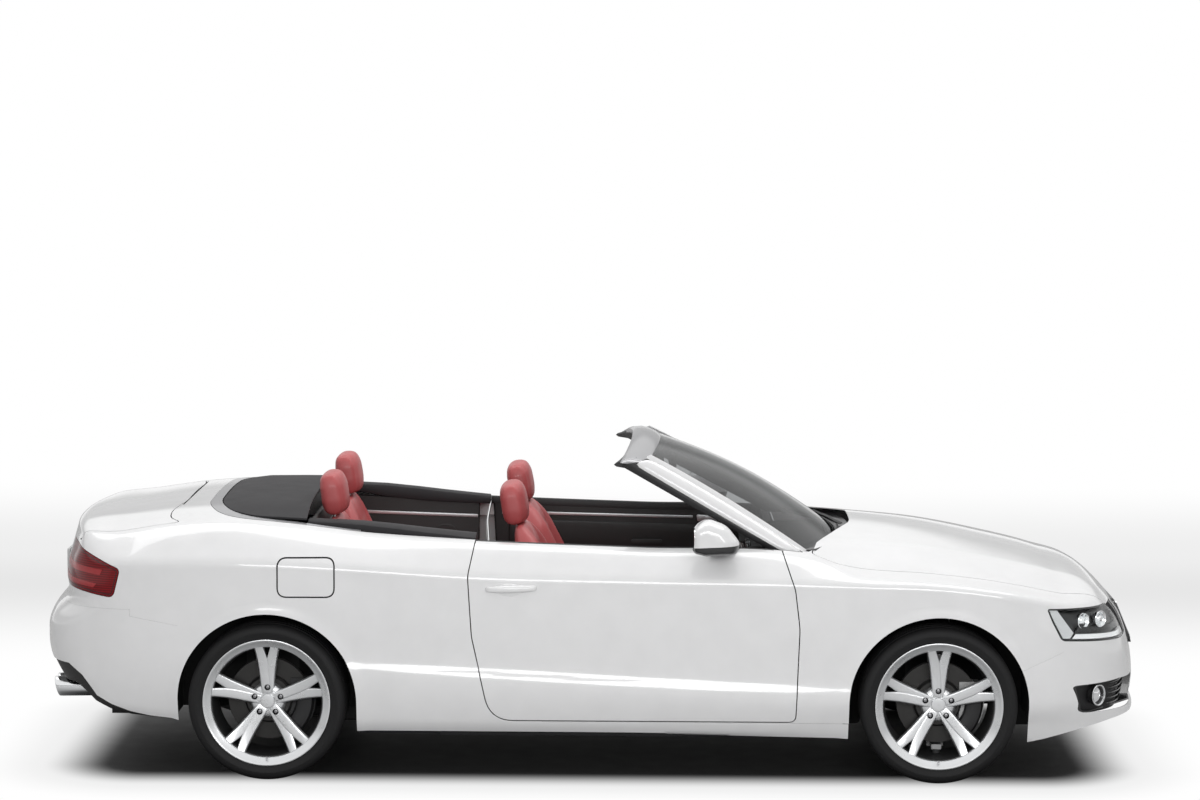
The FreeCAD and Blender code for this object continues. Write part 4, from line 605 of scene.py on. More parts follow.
# ---------------------------------------------------------------------------
# Side panels: one steel pressing from the sill over the rear wheel to the tail lamp, and
# a corner beside the trunk, welded to the floor. The right one has the flap's opening.
zone = cutter([(-1.8875, 1.3), (-1.8875, 0.675), (-1.6875, 0.64), (-1.6875, 0.1), (1.0545, 0.1),
        (1.0545, 0.2452), (-0.2, 0.2452), (-0.2, 0.36), (-0.42, 0.5), (-0.42, 1.3)], *SIDE_AND_ENDS)
tail_zone = cutter([(-2.36, 1.3), (-2.36, 0.703), (-1.887, 0.703), (-1.887, 1.3)], *SIDE_AND_ENDS)
quarter = shaped(twin(side_sheet, "side_panel_skin_right"), zone, "INTERSECT")
corner = shaped(twin(side_sheet, "rear_corner_right"), tail_zone, "INTERSECT")
for piece in (quarter, corner):
    shaped(piece, cutter(swollen(door_line, GAP), *SIDE))
    shaped(piece, cutter(arch_line(REAR_AXLE), *SIDE_AND_ENDS))
    shaped(piece, cutter(arch_line(FRONT_AXLE), *SIDE_AND_ENDS))
    shaped(piece, cutter(swollen(taillamp_line, GAP / 2), *SIDE_AND_ENDS))
    shaped(piece, cutter(swollen(cabin_line, 0.001), "z", 0.7, 1.3))
    shaped(piece, cutter(swollen(lid_plan, GAP), "z", 0.958, 1.3))
    shaped(piece, cutter([(-2.5, -0.478), (-1.5, -0.478), (-1.5, 0.5), (-2.5, 0.5)], "z", 0.5, 1.0))
shaped(corner, cutter([(-1.7, -0.7), (-1.9, -0.2), (-1.9, 0.5), (-1.4, 0.5), (-1.4, -0.7)], "z", 0.5, 0.9))
left_quarter = mirrored(quarter, "side_panel_skin_left")
shaped(quarter, cutter(swollen(flap_line, GAP + 0.0008), *SIDE))
done(quarter, paint, ["side_panel_right"])
done(left_quarter, paint, ["side_panel_left"])
both_done(corner, paint)

# Door frame of the body: thick sill, lock post and hinge post round the opening, pressed
# in steel and painted with the side panel.
jamb = skin("door_surround_right", side_starts[:, 60:-60], side_ways[:, 60:-60], 0.085, -0.0042)
zone = cutter([(-0.64, 0.15), (1.03, 0.15), (1.03, 0.9), (0.84, 0.9), (0.84, 1.1), (-0.64, 1.1)], *SIDE)
shaped(jamb, zone, "INTERSECT")
shaped(jamb, cutter(swollen(door_line, 0.0035), *SIDE))
shaped(jamb, cutter([(-2, -0.757), (2, -0.757), (2, 0.5), (-2, 0.5)], *UPPER))
shaped(jamb, cutter(arch_line(FRONT_AXLE), *SIDE_AND_ENDS))
both_done(jamb, paint)

# Fuel flap: a small rounded door of painted steel in the right rear side, which swings on
# a pin at its front edge.
zone = cutter(swollen(flap_line, -GAP - 0.0008), *SIDE)
flap = shaped(twin(side_sheet, "fuel_flap_skin"), zone, "INTERSECT")
done(flap, paint, ["fuel_flap"], body="fuel_flap")

# ---------------------------------------------------------------------------
# Front fenders: thin steel wings bolted on, from the door round the wheel to the
# headlamp, with a tip that runs on between the lamp and the hood.
zone = cutter([(0.7525, 1.3), (1.9335, 1.3), (1.9335, 0.545), (1.7615, 0.47), (1.7615, 0.1), (1.4235, 0.1),
               (1.4235, 0.2475), (0.8125, 0.2475)], *SIDE_AND_ENDS)
fender = shaped(twin(side_sheet, "fender_skin_right"), zone, "INTERSECT")
front_zone = cutter([(1.9335, NOSE_CUT), (1.9335, 1.3), (2.4, 1.3), (2.4, NOSE_CUT)], *SIDE_AND_ENDS)
wing_tip = shaped(twin(side_sheet, "wing_tip_right"), front_zone, "INTERSECT")
for piece in (fender, wing_tip):
    shaped(piece, cutter(swollen(door_line, GAP), *SIDE))
    shaped(piece, cutter(arch_line(FRONT_AXLE), *SIDE_AND_ENDS))
    shaped(piece, cutter(swollen(headlamp_line, GAP / 2), *SIDE_AND_ENDS))
    shaped(piece, cutter(swollen(hood_line, GAP), "z", NOSE_CUT - 0.02, 1.3))
    shaped(piece, cutter(swollen(cabin_line, 0.001), "z", 0.7, 1.3))
pick([fender, wing_tip])
bpy.ops.object.join()
both_done(fender, paint, ["fender_right"])

# ---------------------------------------------------------------------------
# Bumpers: moulded and painted plastic covers right round the nose and the tail, clipped
# to the panels over them, with their openings cut out.
def both_halves(piece):
    """Joins a right half to its mirror image along the middle of the car."""
    across_y = (False, True, False)
    return modified(piece, "MIRROR", use_axis=across_y, use_bisect_axis=across_y,
        use_bisect_flip_axis=across_y, use_clip=True, merge_threshold=0.0005)


zone = cutter([(1.7615, 0.1), (1.7615, 0.47 - SEAM), (1.9335, 0.545 - SEAM), (1.9335, NOSE_CUT - SEAM),
        (2.5, NOSE_CUT - SEAM), (2.5, 0.1)], "y", -1.2, 0.1)
bumper = shaped(twin(side_sheet, "front_bumper_skin"), zone, "INTERSECT")
shaped(bumper, cutter(arch_line(FRONT_AXLE), *SIDE_AND_ENDS))
shaped(bumper, cutter(swollen(headlamp_line, GAP / 2), "y", -1.2, -0.43))
fog_line = rounded([(-0.826, 0.284, 0.03), (-0.47, 0.284, 0.03), (-0.445, 0.404, 0.02), (-0.7, 0.412, 0.05),
        (-0.852, 0.402, 0.012)])
grille_line = rounded([(-0.365, 0.505, 0.03), (0.365, 0.505, 0.03), (0.345, 0.69, 0.022),
        (-0.345, 0.69, 0.022)])
intake_line = rounded([(-0.4, 0.29, 0.02), (0.4, 0.29, 0.02), (0.36, 0.404, 0.03), (-0.36, 0.404, 0.03)])
low_part = [(1.7, 0.1), (1.7, 0.148), (1.86, 0.178), (2.0, 0.212), (2.14, 0.244), (2.4, 0.282), (2.4, 0.1)]
shaped(bumper, cutter(low_part, "y", -1.2, 0.2))
shaped(bumper, cutter(fog_line, "x", 1.85, 2.6))
shaped(bumper, cutter(grille_line, "x", 1.9, 2.6))
shaped(bumper, cutter(intake_line, "x", 1.9, 2.6))
both_halves(bumper)
done(bumper, paint, ["front_bumper"])

zone = cutter([(-2.5, 0.703 - SEAM), (-1.8875 - SEAM, 0.703 - SEAM), (-1.8875 - SEAM, 0.675 - SEAM),
        (-1.6875, 0.64 - SEAM), (-1.6875, 0.236), (-1.723, 0.246), (-1.813, 0.254), (-1.896, 0.27),
        (-1.978, 0.299), (-2.039, 0.332), (-2.059, 0.361), (-2.1, 0.415), (-2.16, 0.46), (-2.5, 0.47)],
    "y", -1.2, 0.1)
rear_bumper = shaped(twin(side_sheet, "rear_bumper_skin"), zone, "INTERSECT")
shaped(rear_bumper, cutter(arch_line(REAR_AXLE), *SIDE_AND_ENDS))
both_halves(rear_bumper)
done(rear_bumper, paint, ["rear_bumper"])

# ---------------------------------------------------------------------------
# Hood and trunk lid: painted steel pressings, hinged at the windscreen and in front of
# the lid. The deck strip is the fixed panel between the trunk lid and the top cover.
zone = cutter(swollen(hood_line, -GAP), "z", NOSE_CUT, 1.3)
hood = shaped(twin(hood_sheet, "hood_skin"), zone, "INTERSECT")
done(hood, paint, ["hood"], body="hood")
lid = shaped(twin(lid_sheet, "trunk_lid_skin"), cutter(swollen(lid_plan, -GAP), *UPPER), "INTERSECT")
lid_face = [(-0.72, 1.3), (-0.72, 0.985), (-0.62, 0.95), (-0.478, 0.95), (-0.478, 0.712), (0.478, 0.712),
    (0.478, 0.95), (0.62, 0.95), (0.72, 0.985), (0.72, 1.3)]
shaped(lid, cutter(swollen(lid_face, -GAP), "x", -2.6, -1.2), "INTERSECT")
done(lid, paint, ["trunk_lid"], body="trunk_lid")
deck = twin(lid_sheet, "deck_strip")
deck_area = [(-1.78, -0.735), (-1.5, -0.735), (-1.5, 0.735), (-1.78, 0.735)]
shaped(deck, cutter(deck_area, "z", 0.9, 1.3), "INTERSECT")
shaped(deck, cutter(swollen(lid_plan, GAP), *UPPER))
front_line = [(-1.73, -0.42), (-1.7245, -0.42), (-1.7195, -0.31), (-1.7165, -0.22), (-1.714, -0.12),
    (-1.7134, 0.0), (-1.714, 0.12), (-1.7165, 0.22), (-1.7195, 0.31), (-1.7245, 0.42), (-1.73, 0.42)]
shaped(deck, cutter(front_line, *UPPER))
cabin_whole = both_halves_of(cabin_line[1:-1])
shaped(deck, cutter(swollen(cabin_whole, 0.001), *UPPER))
done(deck, paint, ["rear_deck"])

# ---------------------------------------------------------------------------
# Wheels: low rubber tyres on cast alloy rims with five pairs of spokes, bolted on over
# turned iron discs. A caliper stays with the knuckle in front and with the body behind.
def turned(name, profile, steps=120):
    """A piece turned on a lathe about the axle line: profile is (radius, y) all round."""
    points = [(radius, y, 0) for radius, y in profile]
    piece = formed(name, points, [], [(i, (i + 1) % len(points)) for i in range(len(points))])
    pick([piece])
    bpy.ops.object.mode_set(mode="EDIT")
    bpy.ops.mesh.select_all(action="SELECT")
    bpy.ops.mesh.spin(steps=steps, angle=2 * math.pi, center=(0, 0, 0), axis=(0, 1, 0))
    bpy.ops.mesh.select_all(action="SELECT")
    bpy.ops.mesh.remove_doubles(threshold=0.00005)
    bpy.ops.object.mode_set(mode="OBJECT")
    return put_right(piece)


def lofted(name, sections):
    """A skin over sections of equal point counts; the ends are capped."""
    count = len(sections[0])
    points = [p for section in sections for p in section]
    faces = []
    for k in range(len(sections) - 1):
        for i in range(count):
            a, b = k * count + i, k * count + (i + 1) % count
            faces.append([a, b, b + count, a + count])
    faces.append(list(range(count)))
    faces.append(list(range(len(points) - 1, len(points) - count - 1, -1)))
    return put_right(formed(name, points, faces))


def eased(piece, width, segments=2, angle=40):
    """Rounds every edge of a piece that is sharper than an angle."""
    return modified(piece, "BEVEL", width=width, segments=segments, limit_method="ANGLE",
                    angle_limit=math.radians(angle))


def round_bar(radius, length, sides):
    """A bar along z about the middle of everything, with flat ends."""
    bpy.ops.mesh.primitive_cylinder_add(vertices=sides, radius=radius, depth=length, location=(0, 0, 0))
    return bpy.context.object


def together(pieces, name):
    """Joins pieces into the first of them, under one name."""
    pick(pieces)
    bpy.ops.object.join()
    pieces[0].name = name
    return pieces[0]


half_tread = [(0.3222, -0.093), (0.3226, -0.072), (0.315, -0.0705), (0.315, -0.0615), (0.3229, -0.06),
              (0.3229, -0.0275), (0.315, -0.026), (0.315, -0.016), (0.323, -0.0145)]
half_wall = [(0.236, -0.094), (0.256, -0.104), (0.2635, -0.1135), (0.2665, -0.115), (0.269, -0.115),
    (0.271, -0.1165), (0.288, -0.1214), (0.2885, -0.1222), (0.2915, -0.1223), (0.292, -0.1214),
    (0.303, -0.1196), (0.3105, -0.115), (0.3165, -0.1085), (0.3205, -0.101)]
tyre_profile = half_wall + half_tread + [(r, -y) for r, y in reversed(half_wall + half_tread)]
tyre = turned("tyre", tyre_profile, 144)
rim_profile = [(0.2615, -0.1135), (0.261, -0.1165), (0.258, -0.117), (0.25, -0.113), (0.246, -0.1085),
    (0.233, -0.1035), (0.229, -0.1), (0.227, -0.092), (0.225, -0.03), (0.218, 0.02), (0.22, 0.07),
    (0.24, 0.095), (0.258, 0.113), (0.2615, 0.113), (0.2615, 0.108), (0.245, 0.095), (0.226, 0.075),
    (0.224, 0.02), (0.231, -0.03), (0.24, -0.085), (0.248, -0.102), (0.26, -0.108)]
ring = turned("rim", rim_profile, 144)
leg_rows = [(0.03, -0.026, 0.014, -0.068), (0.055, -0.029, 0.013, -0.07), (0.075, -0.0305, 0.012, -0.0725),
    (0.1, -0.033, 0.0105, -0.0745), (0.13, -0.0365, 0.008, -0.078), (0.16, -0.0405, 0.004, -0.0825),
    (0.182, -0.0445, -0.001, -0.0865), (0.205, -0.049, -0.0075, -0.0915), (0.225, -0.0535, -0.014, -0.0985),
    (0.24, -0.058, -0.019, -0.1045)]
legs = []
for mirror in (1, -1):
    sections = []
    for radius, outer, inner, face in leg_rows:
        lower = face + (0.0 if mirror > 0 else 0.0025)
        sections.append([(mirror * u, y, radius) for u, y in ((outer + 0.005, lower + 0.036),
                    (outer, lower + 0.009), (outer + 0.006, lower + 0.0005), (outer + 0.012, lower),
                    (inner - 0.006, lower - 0.0006), (inner - 0.002, lower + 0.0003),
                    (inner, lower + 0.003), (inner - 0.001, lower + 0.036))])
    legs.append(lofted("leg", sections))
pair = together(legs, "spokes")
eased(pair, 0.0018, 2, 40)
spokes = [pair]
for k in range(1, 5):
    next_pair = twin(pair, "spokes")
    next_pair.data.transform(Matrix.Rotation(math.radians(72 * k), 4, "Y"))
    spokes.append(next_pair)
hub = turned("hub", [(0.001, -0.064), (0.048, -0.0635), (0.062, -0.06), (0.07, -0.052), (0.074, -0.04),
        (0.07, -0.03), (0.001, -0.03)], 96)
BOLT_CIRCLE = 0.056
for k in range(5):
    a = math.radians(90 + 72 * k)
    x, z = BOLT_CIRCLE * math.cos(a), BOLT_CIRCLE * math.sin(a)
    hole_line = [(x + 0.0125 * math.cos(t), z + 0.0125 * math.sin(t))
        for t in np.radians(np.arange(0, 360, 15))]
    hole = cutter(hole_line, "y", -0.09, -0.046)
    for piece in [hub] + spokes:
        shaped(piece, hole, keep_tool=True)
    bpy.data.objects.remove(hole)
cap = turned("cap", [(0.001, -0.0735), (0.018, -0.0735), (0.027, -0.0722), (0.0285, -0.0705),
        (0.029, -0.064), (0.001, -0.064)], 64)
rim = together([ring, hub, cap] + spokes, "rim")
eased(rim, 0.0008, 1, 45)
bolts = []
for k in range(5):
    a = math.radians(90 + 72 * k)
    bolt = put(round_bar(0.0085, 0.016, 6), (BOLT_CIRCLE * math.cos(a), -0.054, BOLT_CIRCLE * math.sin(a)),
        90, "X")
    modified(bolt, "BEVEL", width=0.0015, segments=2)
    bolts.append(bolt)
valve = put(round_bar(0.0045, 0.034, 16), (0, -0.1, -0.236), 62, "X")
bolts = together(bolts + [valve], "bolts")
# A black lining inside the rim's barrel: painted shade, standing in for the dark inside of the wheel, where
# a bare alloy barrel would be bright.
barrel = turned("barrel", [(0.2262, -0.0905), (0.2246, -0.03), (0.2174, 0.02), (0.219, 0.065),
        (0.215, 0.065), (0.213, 0.02), (0.2225, -0.03), (0.2244, -0.0905)], 96)
disc = turned("disc", [(0.168, -0.004), (0.167, -0.005), (0.1, -0.005), (0.098, -0.018), (0.09, -0.026),
        (0.05, -0.027), (0.049, -0.002), (0.086, 0.004), (0.094, 0.01), (0.1, 0.023), (0.167, 0.023),
        (0.168, 0.022), (0.168, 0.014), (0.15, 0.0135), (0.15, 0.0045), (0.168, 0.004)], 96)
caliper_line = ((0.118, -0.03), (0.15, -0.038), (0.178, -0.034), (0.188, -0.02), (0.188, 0.045),
    (0.178, 0.056), (0.118, 0.056), (0.112, 0.045), (0.112, 0.03), (0.172, 0.03), (0.172, -0.012),
    (0.112, -0.012))
caliper = lofted("caliper", [[(r * math.cos(a), y, r * math.sin(a)) for r, y in caliper_line]
        for a in np.radians(np.linspace(-28, 28, 9))])
eased(caliper, 0.004, 2, 50)

tyre_rubber = plain_material("tyre_rubber", (0.012, 0.012, 0.0125), 0.66, grain=0.25, grain_size=420,
    depth=0.0004)
alloy = plain_material("silver_alloy", (0.72, 0.73, 0.74), 0.28, 0.85, 0.4)
steel = plain_material("bolt_steel", (0.3, 0.3, 0.31), 0.35, 1.0)
# The discs' iron is given a near black colour, far darker than bare iron: painted shade for the dark inside
# of the wheel.
iron_painted_shade = plain_material("brake_iron", (0.04, 0.039, 0.038), 0.42, 0.8)
barrel_painted_shade = plain_material("barrel_painted_shade", (0.01, 0.01, 0.0105), 0.6)
caliper_grey = plain_material("caliper_grey", (0.02, 0.02, 0.021), 0.5, 0.4)
tyre_rubber.node_tree.nodes["Principled BSDF"].inputs["Specular IOR Level"].default_value = 0.25
for end, axle in (("front", FRONT_AXLE), ("rear", REAR_AXLE)):
    for side_name, y in (("right", -0.795), ("left", 0.795)):
        tag = end + "_" + side_name
        spot = Matrix.Translation((axle, y, AXLE_Z))
        if y > 0:
            spot = spot @ Matrix.Scale(-1, 4, (0, 1, 0))
        pieces = []
        for model, label in ((tyre, "tyre_piece_"), (rim, "rim_piece_"), (bolts, "bolts_"),
                (disc, "disc_piece_"), (barrel, "barrel_")):
            copy = twin(model, label + tag)
            copy.data.transform(spot)
            if y > 0:
                copy.data.flip_normals()
            pieces.append(copy)
        wheel = "wheel_" + tag
        done(pieces[0], tyre_rubber, ["tyre_" + tag], body=wheel)
        done(pieces[1], alloy, ["rim_" + tag], body=wheel)
        done(pieces[2], steel, body=wheel)
        done(pieces[3], iron_painted_shade, ["disc_" + tag], body=wheel)
        done(pieces[4], barrel_painted_shade, body=wheel)
        copy = twin(caliper, "caliper_" + tag)
        copy.data.transform(spot @ Matrix.Rotation(math.radians(18), 4, "Y"))
        if y > 0:
            copy.data.flip_normals()
        done(copy, caliper_grey, body="knuckle_" + side_name if end == "front" else "chassis")
for model in (tyre, rim, bolts, disc, barrel, caliper):
    bpy.data.objects.remove(model)

# ---------------------------------------------------------------------------
# Windscreen: painted pillars with a black seal under them, a satin metal header, and
# curved laminated glass with a black printed border.
seal_black = plain_material("seal_rubber", (0.016, 0.016, 0.017), 0.55, grain=0.1, grain_size=500)
header_grey = plain_material("header_metal", (0.34, 0.34, 0.35), 0.34, 0.65, 0.5)


def rail(points, count=14):
    """Points along a gently bowed line through three given ones."""
    t = np.linspace(0, 1, count)
    points = np.array(points)
    return (points[0][None] * ((1 - t) * (1 - 2 * t))[:, None]
        + points[1][None] * (4 * t * (1 - t))[:, None] + points[2][None] * (t * (2 * t - 1))[:, None])


glass_edge = rail([(0.893, -0.7, 0.92), (0.56, -0.66, 1.131), (0.236, -0.602, 1.308)])
white_low = rail([(0.805, -0.738, 0.93), (0.486, -0.694, 1.108), (0.17, -0.632, 1.287)])
seal_low = rail([(0.772, -0.722, 0.918), (0.462, -0.68, 1.085), (0.118, -0.612, 1.272)])
trim_in = rail([(0.845, -0.664, 0.925), (0.52, -0.622, 1.108), (0.2, -0.566, 1.29)])
white_sections, black_sections = [], []
for glass_at, paint_at, seal_at, trim_at in zip(glass_edge, white_low, seal_low, trim_in):
    out = np.array([0.1, -0.8, 0.45])
    crown = (glass_at + paint_at) / 2 + out * 0.012
    deep = np.array([-0.02, 0.012, -0.012])
    white_sections.append([tuple(p) for p in (glass_at, glass_at * 0.7 + paint_at * 0.3 + out * 0.01, crown,
                glass_at * 0.25 + paint_at * 0.75 + out * 0.009, paint_at, paint_at + deep,
                glass_at + deep)])
    above = seal_at + (paint_at - seal_at) * 0.4 + out * 0.004
    black_sections.append([tuple(p) for p in (paint_at + deep * 0.3, above, seal_at,
                seal_at * 0.6 + trim_at * 0.4 - out * 0.006, trim_at, trim_at * 0.4 + glass_at * 0.6
                + (0, 0, -0.002), glass_at + deep * 0.2 + (0, 0.004, -0.004))])
pillar = modified(lofted("pillar_right", white_sections), "SUBSURF", levels=1, render_levels=1)
seal = lofted("pillar_seal_right", black_sections)
both_done(pillar, paint, ["windscreen_frame"], angle=50)
both_done(seal, seal_black, angle=50)

moulding = []
for glass_at, paint_at in zip(glass_edge, white_low):
    inward = (glass_at - paint_at) / np.linalg.norm(glass_at - paint_at)
    moulding.append([tuple(glass_at - inward * 0.014 + (0, 0, 0.001)),
            tuple(glass_at - inward * 0.01 + (0, 0, 0.0085)),
            tuple(glass_at + inward * 0.006 + (0.001, 0, 0.009)),
            tuple(glass_at + inward * 0.01 + (0, 0, 0.003))])
strip = lofted("screen_moulding_right", moulding)
both_done(strip, paint, angle=50)
header_sections, lip_sections = [], []
for y in np.linspace(-0.618, 0.618, 31):
    crown = max(0.0, 1 - (y / 0.62) ** 2)
    tip = 1 - max(0, abs(y) - 0.57) / 0.12
    rise = 1.301 + 0.061 * crown
    back, nose = 0.1115 + 0.05 * crown, 0.236 + 0.052 * crown
    reach = (abs(y) / 0.618) ** 7
    header_sections.append([(x, y, z) for x, z in ((back, rise - 0.03 * tip), (back + 0.004, rise - 0.012),
                (back + 0.022, rise - 0.002), (back + 0.055, rise), (nose - 0.045, rise - 0.006),
                (nose - 0.018, rise - 0.018), (nose, rise - 0.032), (nose - 0.012, rise - 0.04),
                (back + 0.05, rise - 0.04 * tip))])
    lip_sections.append([(x, y * 0.97, z) for x, z in ((back + 0.01 - 0.012 * reach, rise - 0.014),
                (back + 0.008 - 0.024 * reach, rise - 0.018), (back + 0.006 - 0.03 * reach, rise - 0.026),
                (back + 0.006 - 0.018 * reach, rise - 0.034), (back + 0.06, rise - 0.046),
                (nose - 0.03, rise - 0.042), (back + 0.05, rise - 0.03))])
header = eased(lofted("header", header_sections), 0.003, 2, 50)
done(header, header_grey, angle=45)
done(lofted("header_seal", lip_sections), seal_black, angle=45)


def pane_point(u, v, lift=0.0):
    """A place on the windscreen: u from -1 to 1 across, v from 0 to 1 up."""
    half = 0.708 + (0.592 - 0.708) * v
    middle, corner = 1.062 + (0.268 - 1.062) * v, 0.862 + (0.168 - 0.862) * v
    drop = u * u
    z = 0.926 + 0.412 * v + (0.014 + 0.034 * (1 - drop)) * math.sin(math.pi * v) - 0.028 * v * drop
    return (middle + (corner - middle) * drop + lift * 0.45, u * half, z + lift * 0.9)


def pane(name, u_line, v_line, lift, thick):
    """A curved piece of the windscreen, between lines across and up."""
    points = [pane_point(u, v, lift) for v in v_line for u in u_line]
    count = len(u_line)
    faces = [[k * count + i, k * count + i + 1, (k + 1) * count + i + 1, (k + 1) * count + i]
        for k in range(len(v_line) - 1) for i in range(count - 1)]
    return put_right(modified(formed(name, points, faces), "SOLIDIFY", thickness=thick, offset=-1))


def clear_material(name, tint, rough=0.0):
    """Clear glass or plastic with an even tint and a trace of dust."""
    made = bpy.data.materials.new(name)
    made.use_nodes = True
    tree = made.node_tree
    shader = tree.nodes["Principled BSDF"]
    shader.inputs["Transmission Weight"].default_value = 1.0
    shader.inputs["Roughness"].default_value = rough
    shader.inputs["IOR"].default_value = 1.45
    place = tree.nodes.new("ShaderNodeTexCoord")
    dust = tree.nodes.new("ShaderNodeTexNoise")
    dust.inputs["Scale"].default_value = 3.0
    tree.links.new(place.outputs["Object"], dust.inputs["Vector"])
    tone = tree.nodes.new("ShaderNodeMix")
    tone.data_type = "RGBA"
    tone.inputs[6].default_value = (*[c * 0.97 for c in tint], 1)
    tone.inputs[7].default_value = (*tint, 1)
    tree.links.new(dust.outputs["Fac"], tone.inputs[0])
    tree.links.new(tone.outputs[2], shader.inputs["Base Color"])
    return made


screen_tint = clear_material("screen_tint", (0.27, 0.28, 0.285))
screen_tint.node_tree.nodes["Principled BSDF"].inputs["IOR"].default_value = 1.22
done(pane("screen_pane", np.linspace(-1, 1, 41), np.linspace(0.0, 0.985, 25), 0.0, 0.004), screen_tint,
    ["windscreen_glass"], angle=60)
border = together([pane("border", np.linspace(-1, -0.955, 3), np.linspace(0, 0.985, 21), -0.0055, 0.002),
        pane("border", np.linspace(0.955, 1, 3), np.linspace(0, 0.985, 21), -0.0055, 0.002),
        pane("border", np.linspace(-0.955, 0.955, 31), np.linspace(0.0, 0.05, 3), -0.0055, 0.002),
        pane("border", np.linspace(-0.955, 0.955, 31), np.linspace(0.935, 0.985, 3), -0.0055, 0.002)],
    "screen_border")
done(border, seal_black, angle=60)


def tilted_block(place, turn, axis, size, lift=0.0):
    """A block of some size, raised by lift, turned about an axis and set in its place."""
    bpy.ops.mesh.primitive_cube_add(size=1, location=(0, 0, 0))
    piece = bpy.context.object
    raised = Matrix.Translation((0, 0, lift)) @ Matrix.Diagonal((*size, 1))
    piece.data.transform(Matrix.Translation(place) @ Matrix.Rotation(turn, 4, axis) @ raised)
    return piece


mirror_case = tilted_block((0.335, 0, 1.232), math.radians(-12), "Y", (0.03, 0.235, 0.062))
modified(mirror_case, "BEVEL", width=0.013, segments=4)
mirror_stem = tilted_block((0.385, 0, 1.268), math.radians(32), "Y", (0.11, 0.052, 0.022))
modified(mirror_stem, "BEVEL", width=0.008, segments=3)
done(together([mirror_case, mirror_stem], "inside_mirror"), seal_black, angle=50)

# ---------------------------------------------------------------------------
# Door inner sides: a pressed frame, a black belt seal along the window slot, a moulded
# card with an arm rest, and the outside pull with its cup behind it.
trim_dark = plain_material("cabin_trim", (0.014, 0.0135, 0.0135), 0.58, grain=0.35, grain_size=900,
    depth=0.0003)
satin = plain_material("satin_trim", (0.62, 0.63, 0.64), 0.34, 0.7)
inner_frame = skin("door_frame_right", side_starts[:, 66:-66], side_ways[:, 66:-66], 0.08, -0.0042)
shaped(inner_frame, cutter(swollen(door_line, -0.01), *SIDE), "INTERSECT")
shaped(inner_frame, cutter([(-2, -0.757), (2, -0.757), (2, 0.5), (-2, 0.5)], *UPPER))
both_done(inner_frame, paint, body="door_right")


def plate(name, line, way, low, high, bevel=0.006, steps=3):
    """A moulded block with the outline's shape and softened edges."""
    piece = cutter(line, way, low, high)
    piece.name = name
    return eased(piece, bevel, steps, 40)


def belt_height(x, y):
    """Height of the top of the body at one place."""
    return float(crown_top(np.array([x]), np.array([abs(y)]))[0])


card = plate("door_card_right", rounded([(-0.47, 0.958, 0.012), (-0.445, 0.5, 0.1), (-0.38, 0.3, 0.05),
            (0.79, 0.3, 0.04), (0.8, 0.6, 0.2), (0.752, 0.921, 0.012), (0.2, 0.938, 0.3)], 6), "y", -0.8,
    -0.742, 0.008)
rest = plate("arm_rest_right", rounded([(-0.33, 0.64, 0.03), (0.42, 0.655, 0.05), (0.6, 0.78, 0.04),
            (0.57, 0.8, 0.02), (0.38, 0.705, 0.05), (-0.33, 0.705, 0.03)], 6), "y", -0.78, -0.684, 0.012)
pocket = plate("door_pocket_right", rounded([(-0.3, 0.34, 0.03), (0.6, 0.34, 0.05), (0.62, 0.44, 0.03),
            (-0.3, 0.47, 0.03)], 6), "y", -0.78, -0.705, 0.012)
panel = plate("card_panel_right", rounded([(-0.4, 0.735, 0.02), (0.5, 0.735, 0.02), (0.66, 0.845, 0.03),
            (-0.4, 0.875, 0.02)], 6), "y", -0.78, -0.733, 0.008)
grip = plate("door_grip_right", rounded([(0.16, 0.765, 0.01), (0.3, 0.765, 0.01), (0.3, 0.785, 0.01),
            (0.16, 0.785, 0.01)], 4), "y", -0.74, -0.716, 0.004)
strip = plate("card_strip_right", [(-0.43, 0.897), (0.44, 0.881), (0.44, 0.893), (-0.43, 0.911)], "y",
    -0.76, -0.736, 0.002)
pull = plate("door_pull_right", rounded([(0.46, 0.868, 0.008), (0.545, 0.866, 0.008), (0.56, 0.893, 0.008),
            (0.455, 0.898, 0.008)], 4), "y", -0.76, -0.728, 0.003)
seal_rows = []
for x in np.linspace(-0.478, 0.748, 30):
    z = belt_height(x, 0.76)
    seal_rows.append([(x, y, z + dz) for y, dz in ((-0.7585, -0.004), (-0.7585, 0.0015), (-0.754, 0.0042),
                (-0.743, 0.003), (-0.7385, -0.004), (-0.742, -0.03), (-0.756, -0.03))])
belt = lofted("belt_seal_right", seal_rows)
for piece, finish in ((card, trim_dark), (rest, trim_dark), (pocket, trim_dark), (panel, trim_dark),
        (grip, trim_dark), (strip, satin), (pull, satin), (belt, seal_black)):
    both_done(piece, finish, body="door_right", angle=45)

handle_rows = []
for t in np.linspace(0, 1, 17):
    x = -0.432 + 0.212 * t
    swell = math.sin(math.pi * t) ** 0.5 if 0 < t < 1 else 0.0
    stand = 0.006 + 0.02 * swell
    skin_y = float(flank_out(np.array([x]), np.array([0.8]))[0])
    half = 0.009 + 0.006 * swell
    handle_rows.append([(x, -skin_y + dy, 0.797 + 0.006 * t + dz) for dy, dz in ((0.004, half),
                (-stand * 0.7, half), (-stand, half * 0.55), (-stand, -half * 0.45), (-stand * 0.75, -half),
                (-stand * 0.45, -half * 0.8), (-stand * 0.42, half * 0.6))])
handle = modified(lofted("door_handle_right", handle_rows), "SUBSURF", levels=1, render_levels=1)
cup = turned("handle_cup_right", [(0.0005, -0.0015), (0.036, -0.0015), (0.04, 0.0), (0.036, 0.002),
        (0.0005, 0.002)], 48)
CUP_X, CUP_Z = -0.335, 0.793
cup_y = -float(flank_out(np.array([CUP_X]), np.array([0.79]))[0]) - 0.0008
cup.data.transform(Matrix.Diagonal((1.3, 1, 0.72, 1)))
put(cup, (CUP_X, cup_y, CUP_Z), 6, "X")
both_done(handle, paint, body="door_right", angle=60)
both_done(cup, paint, body="door_right", angle=60)

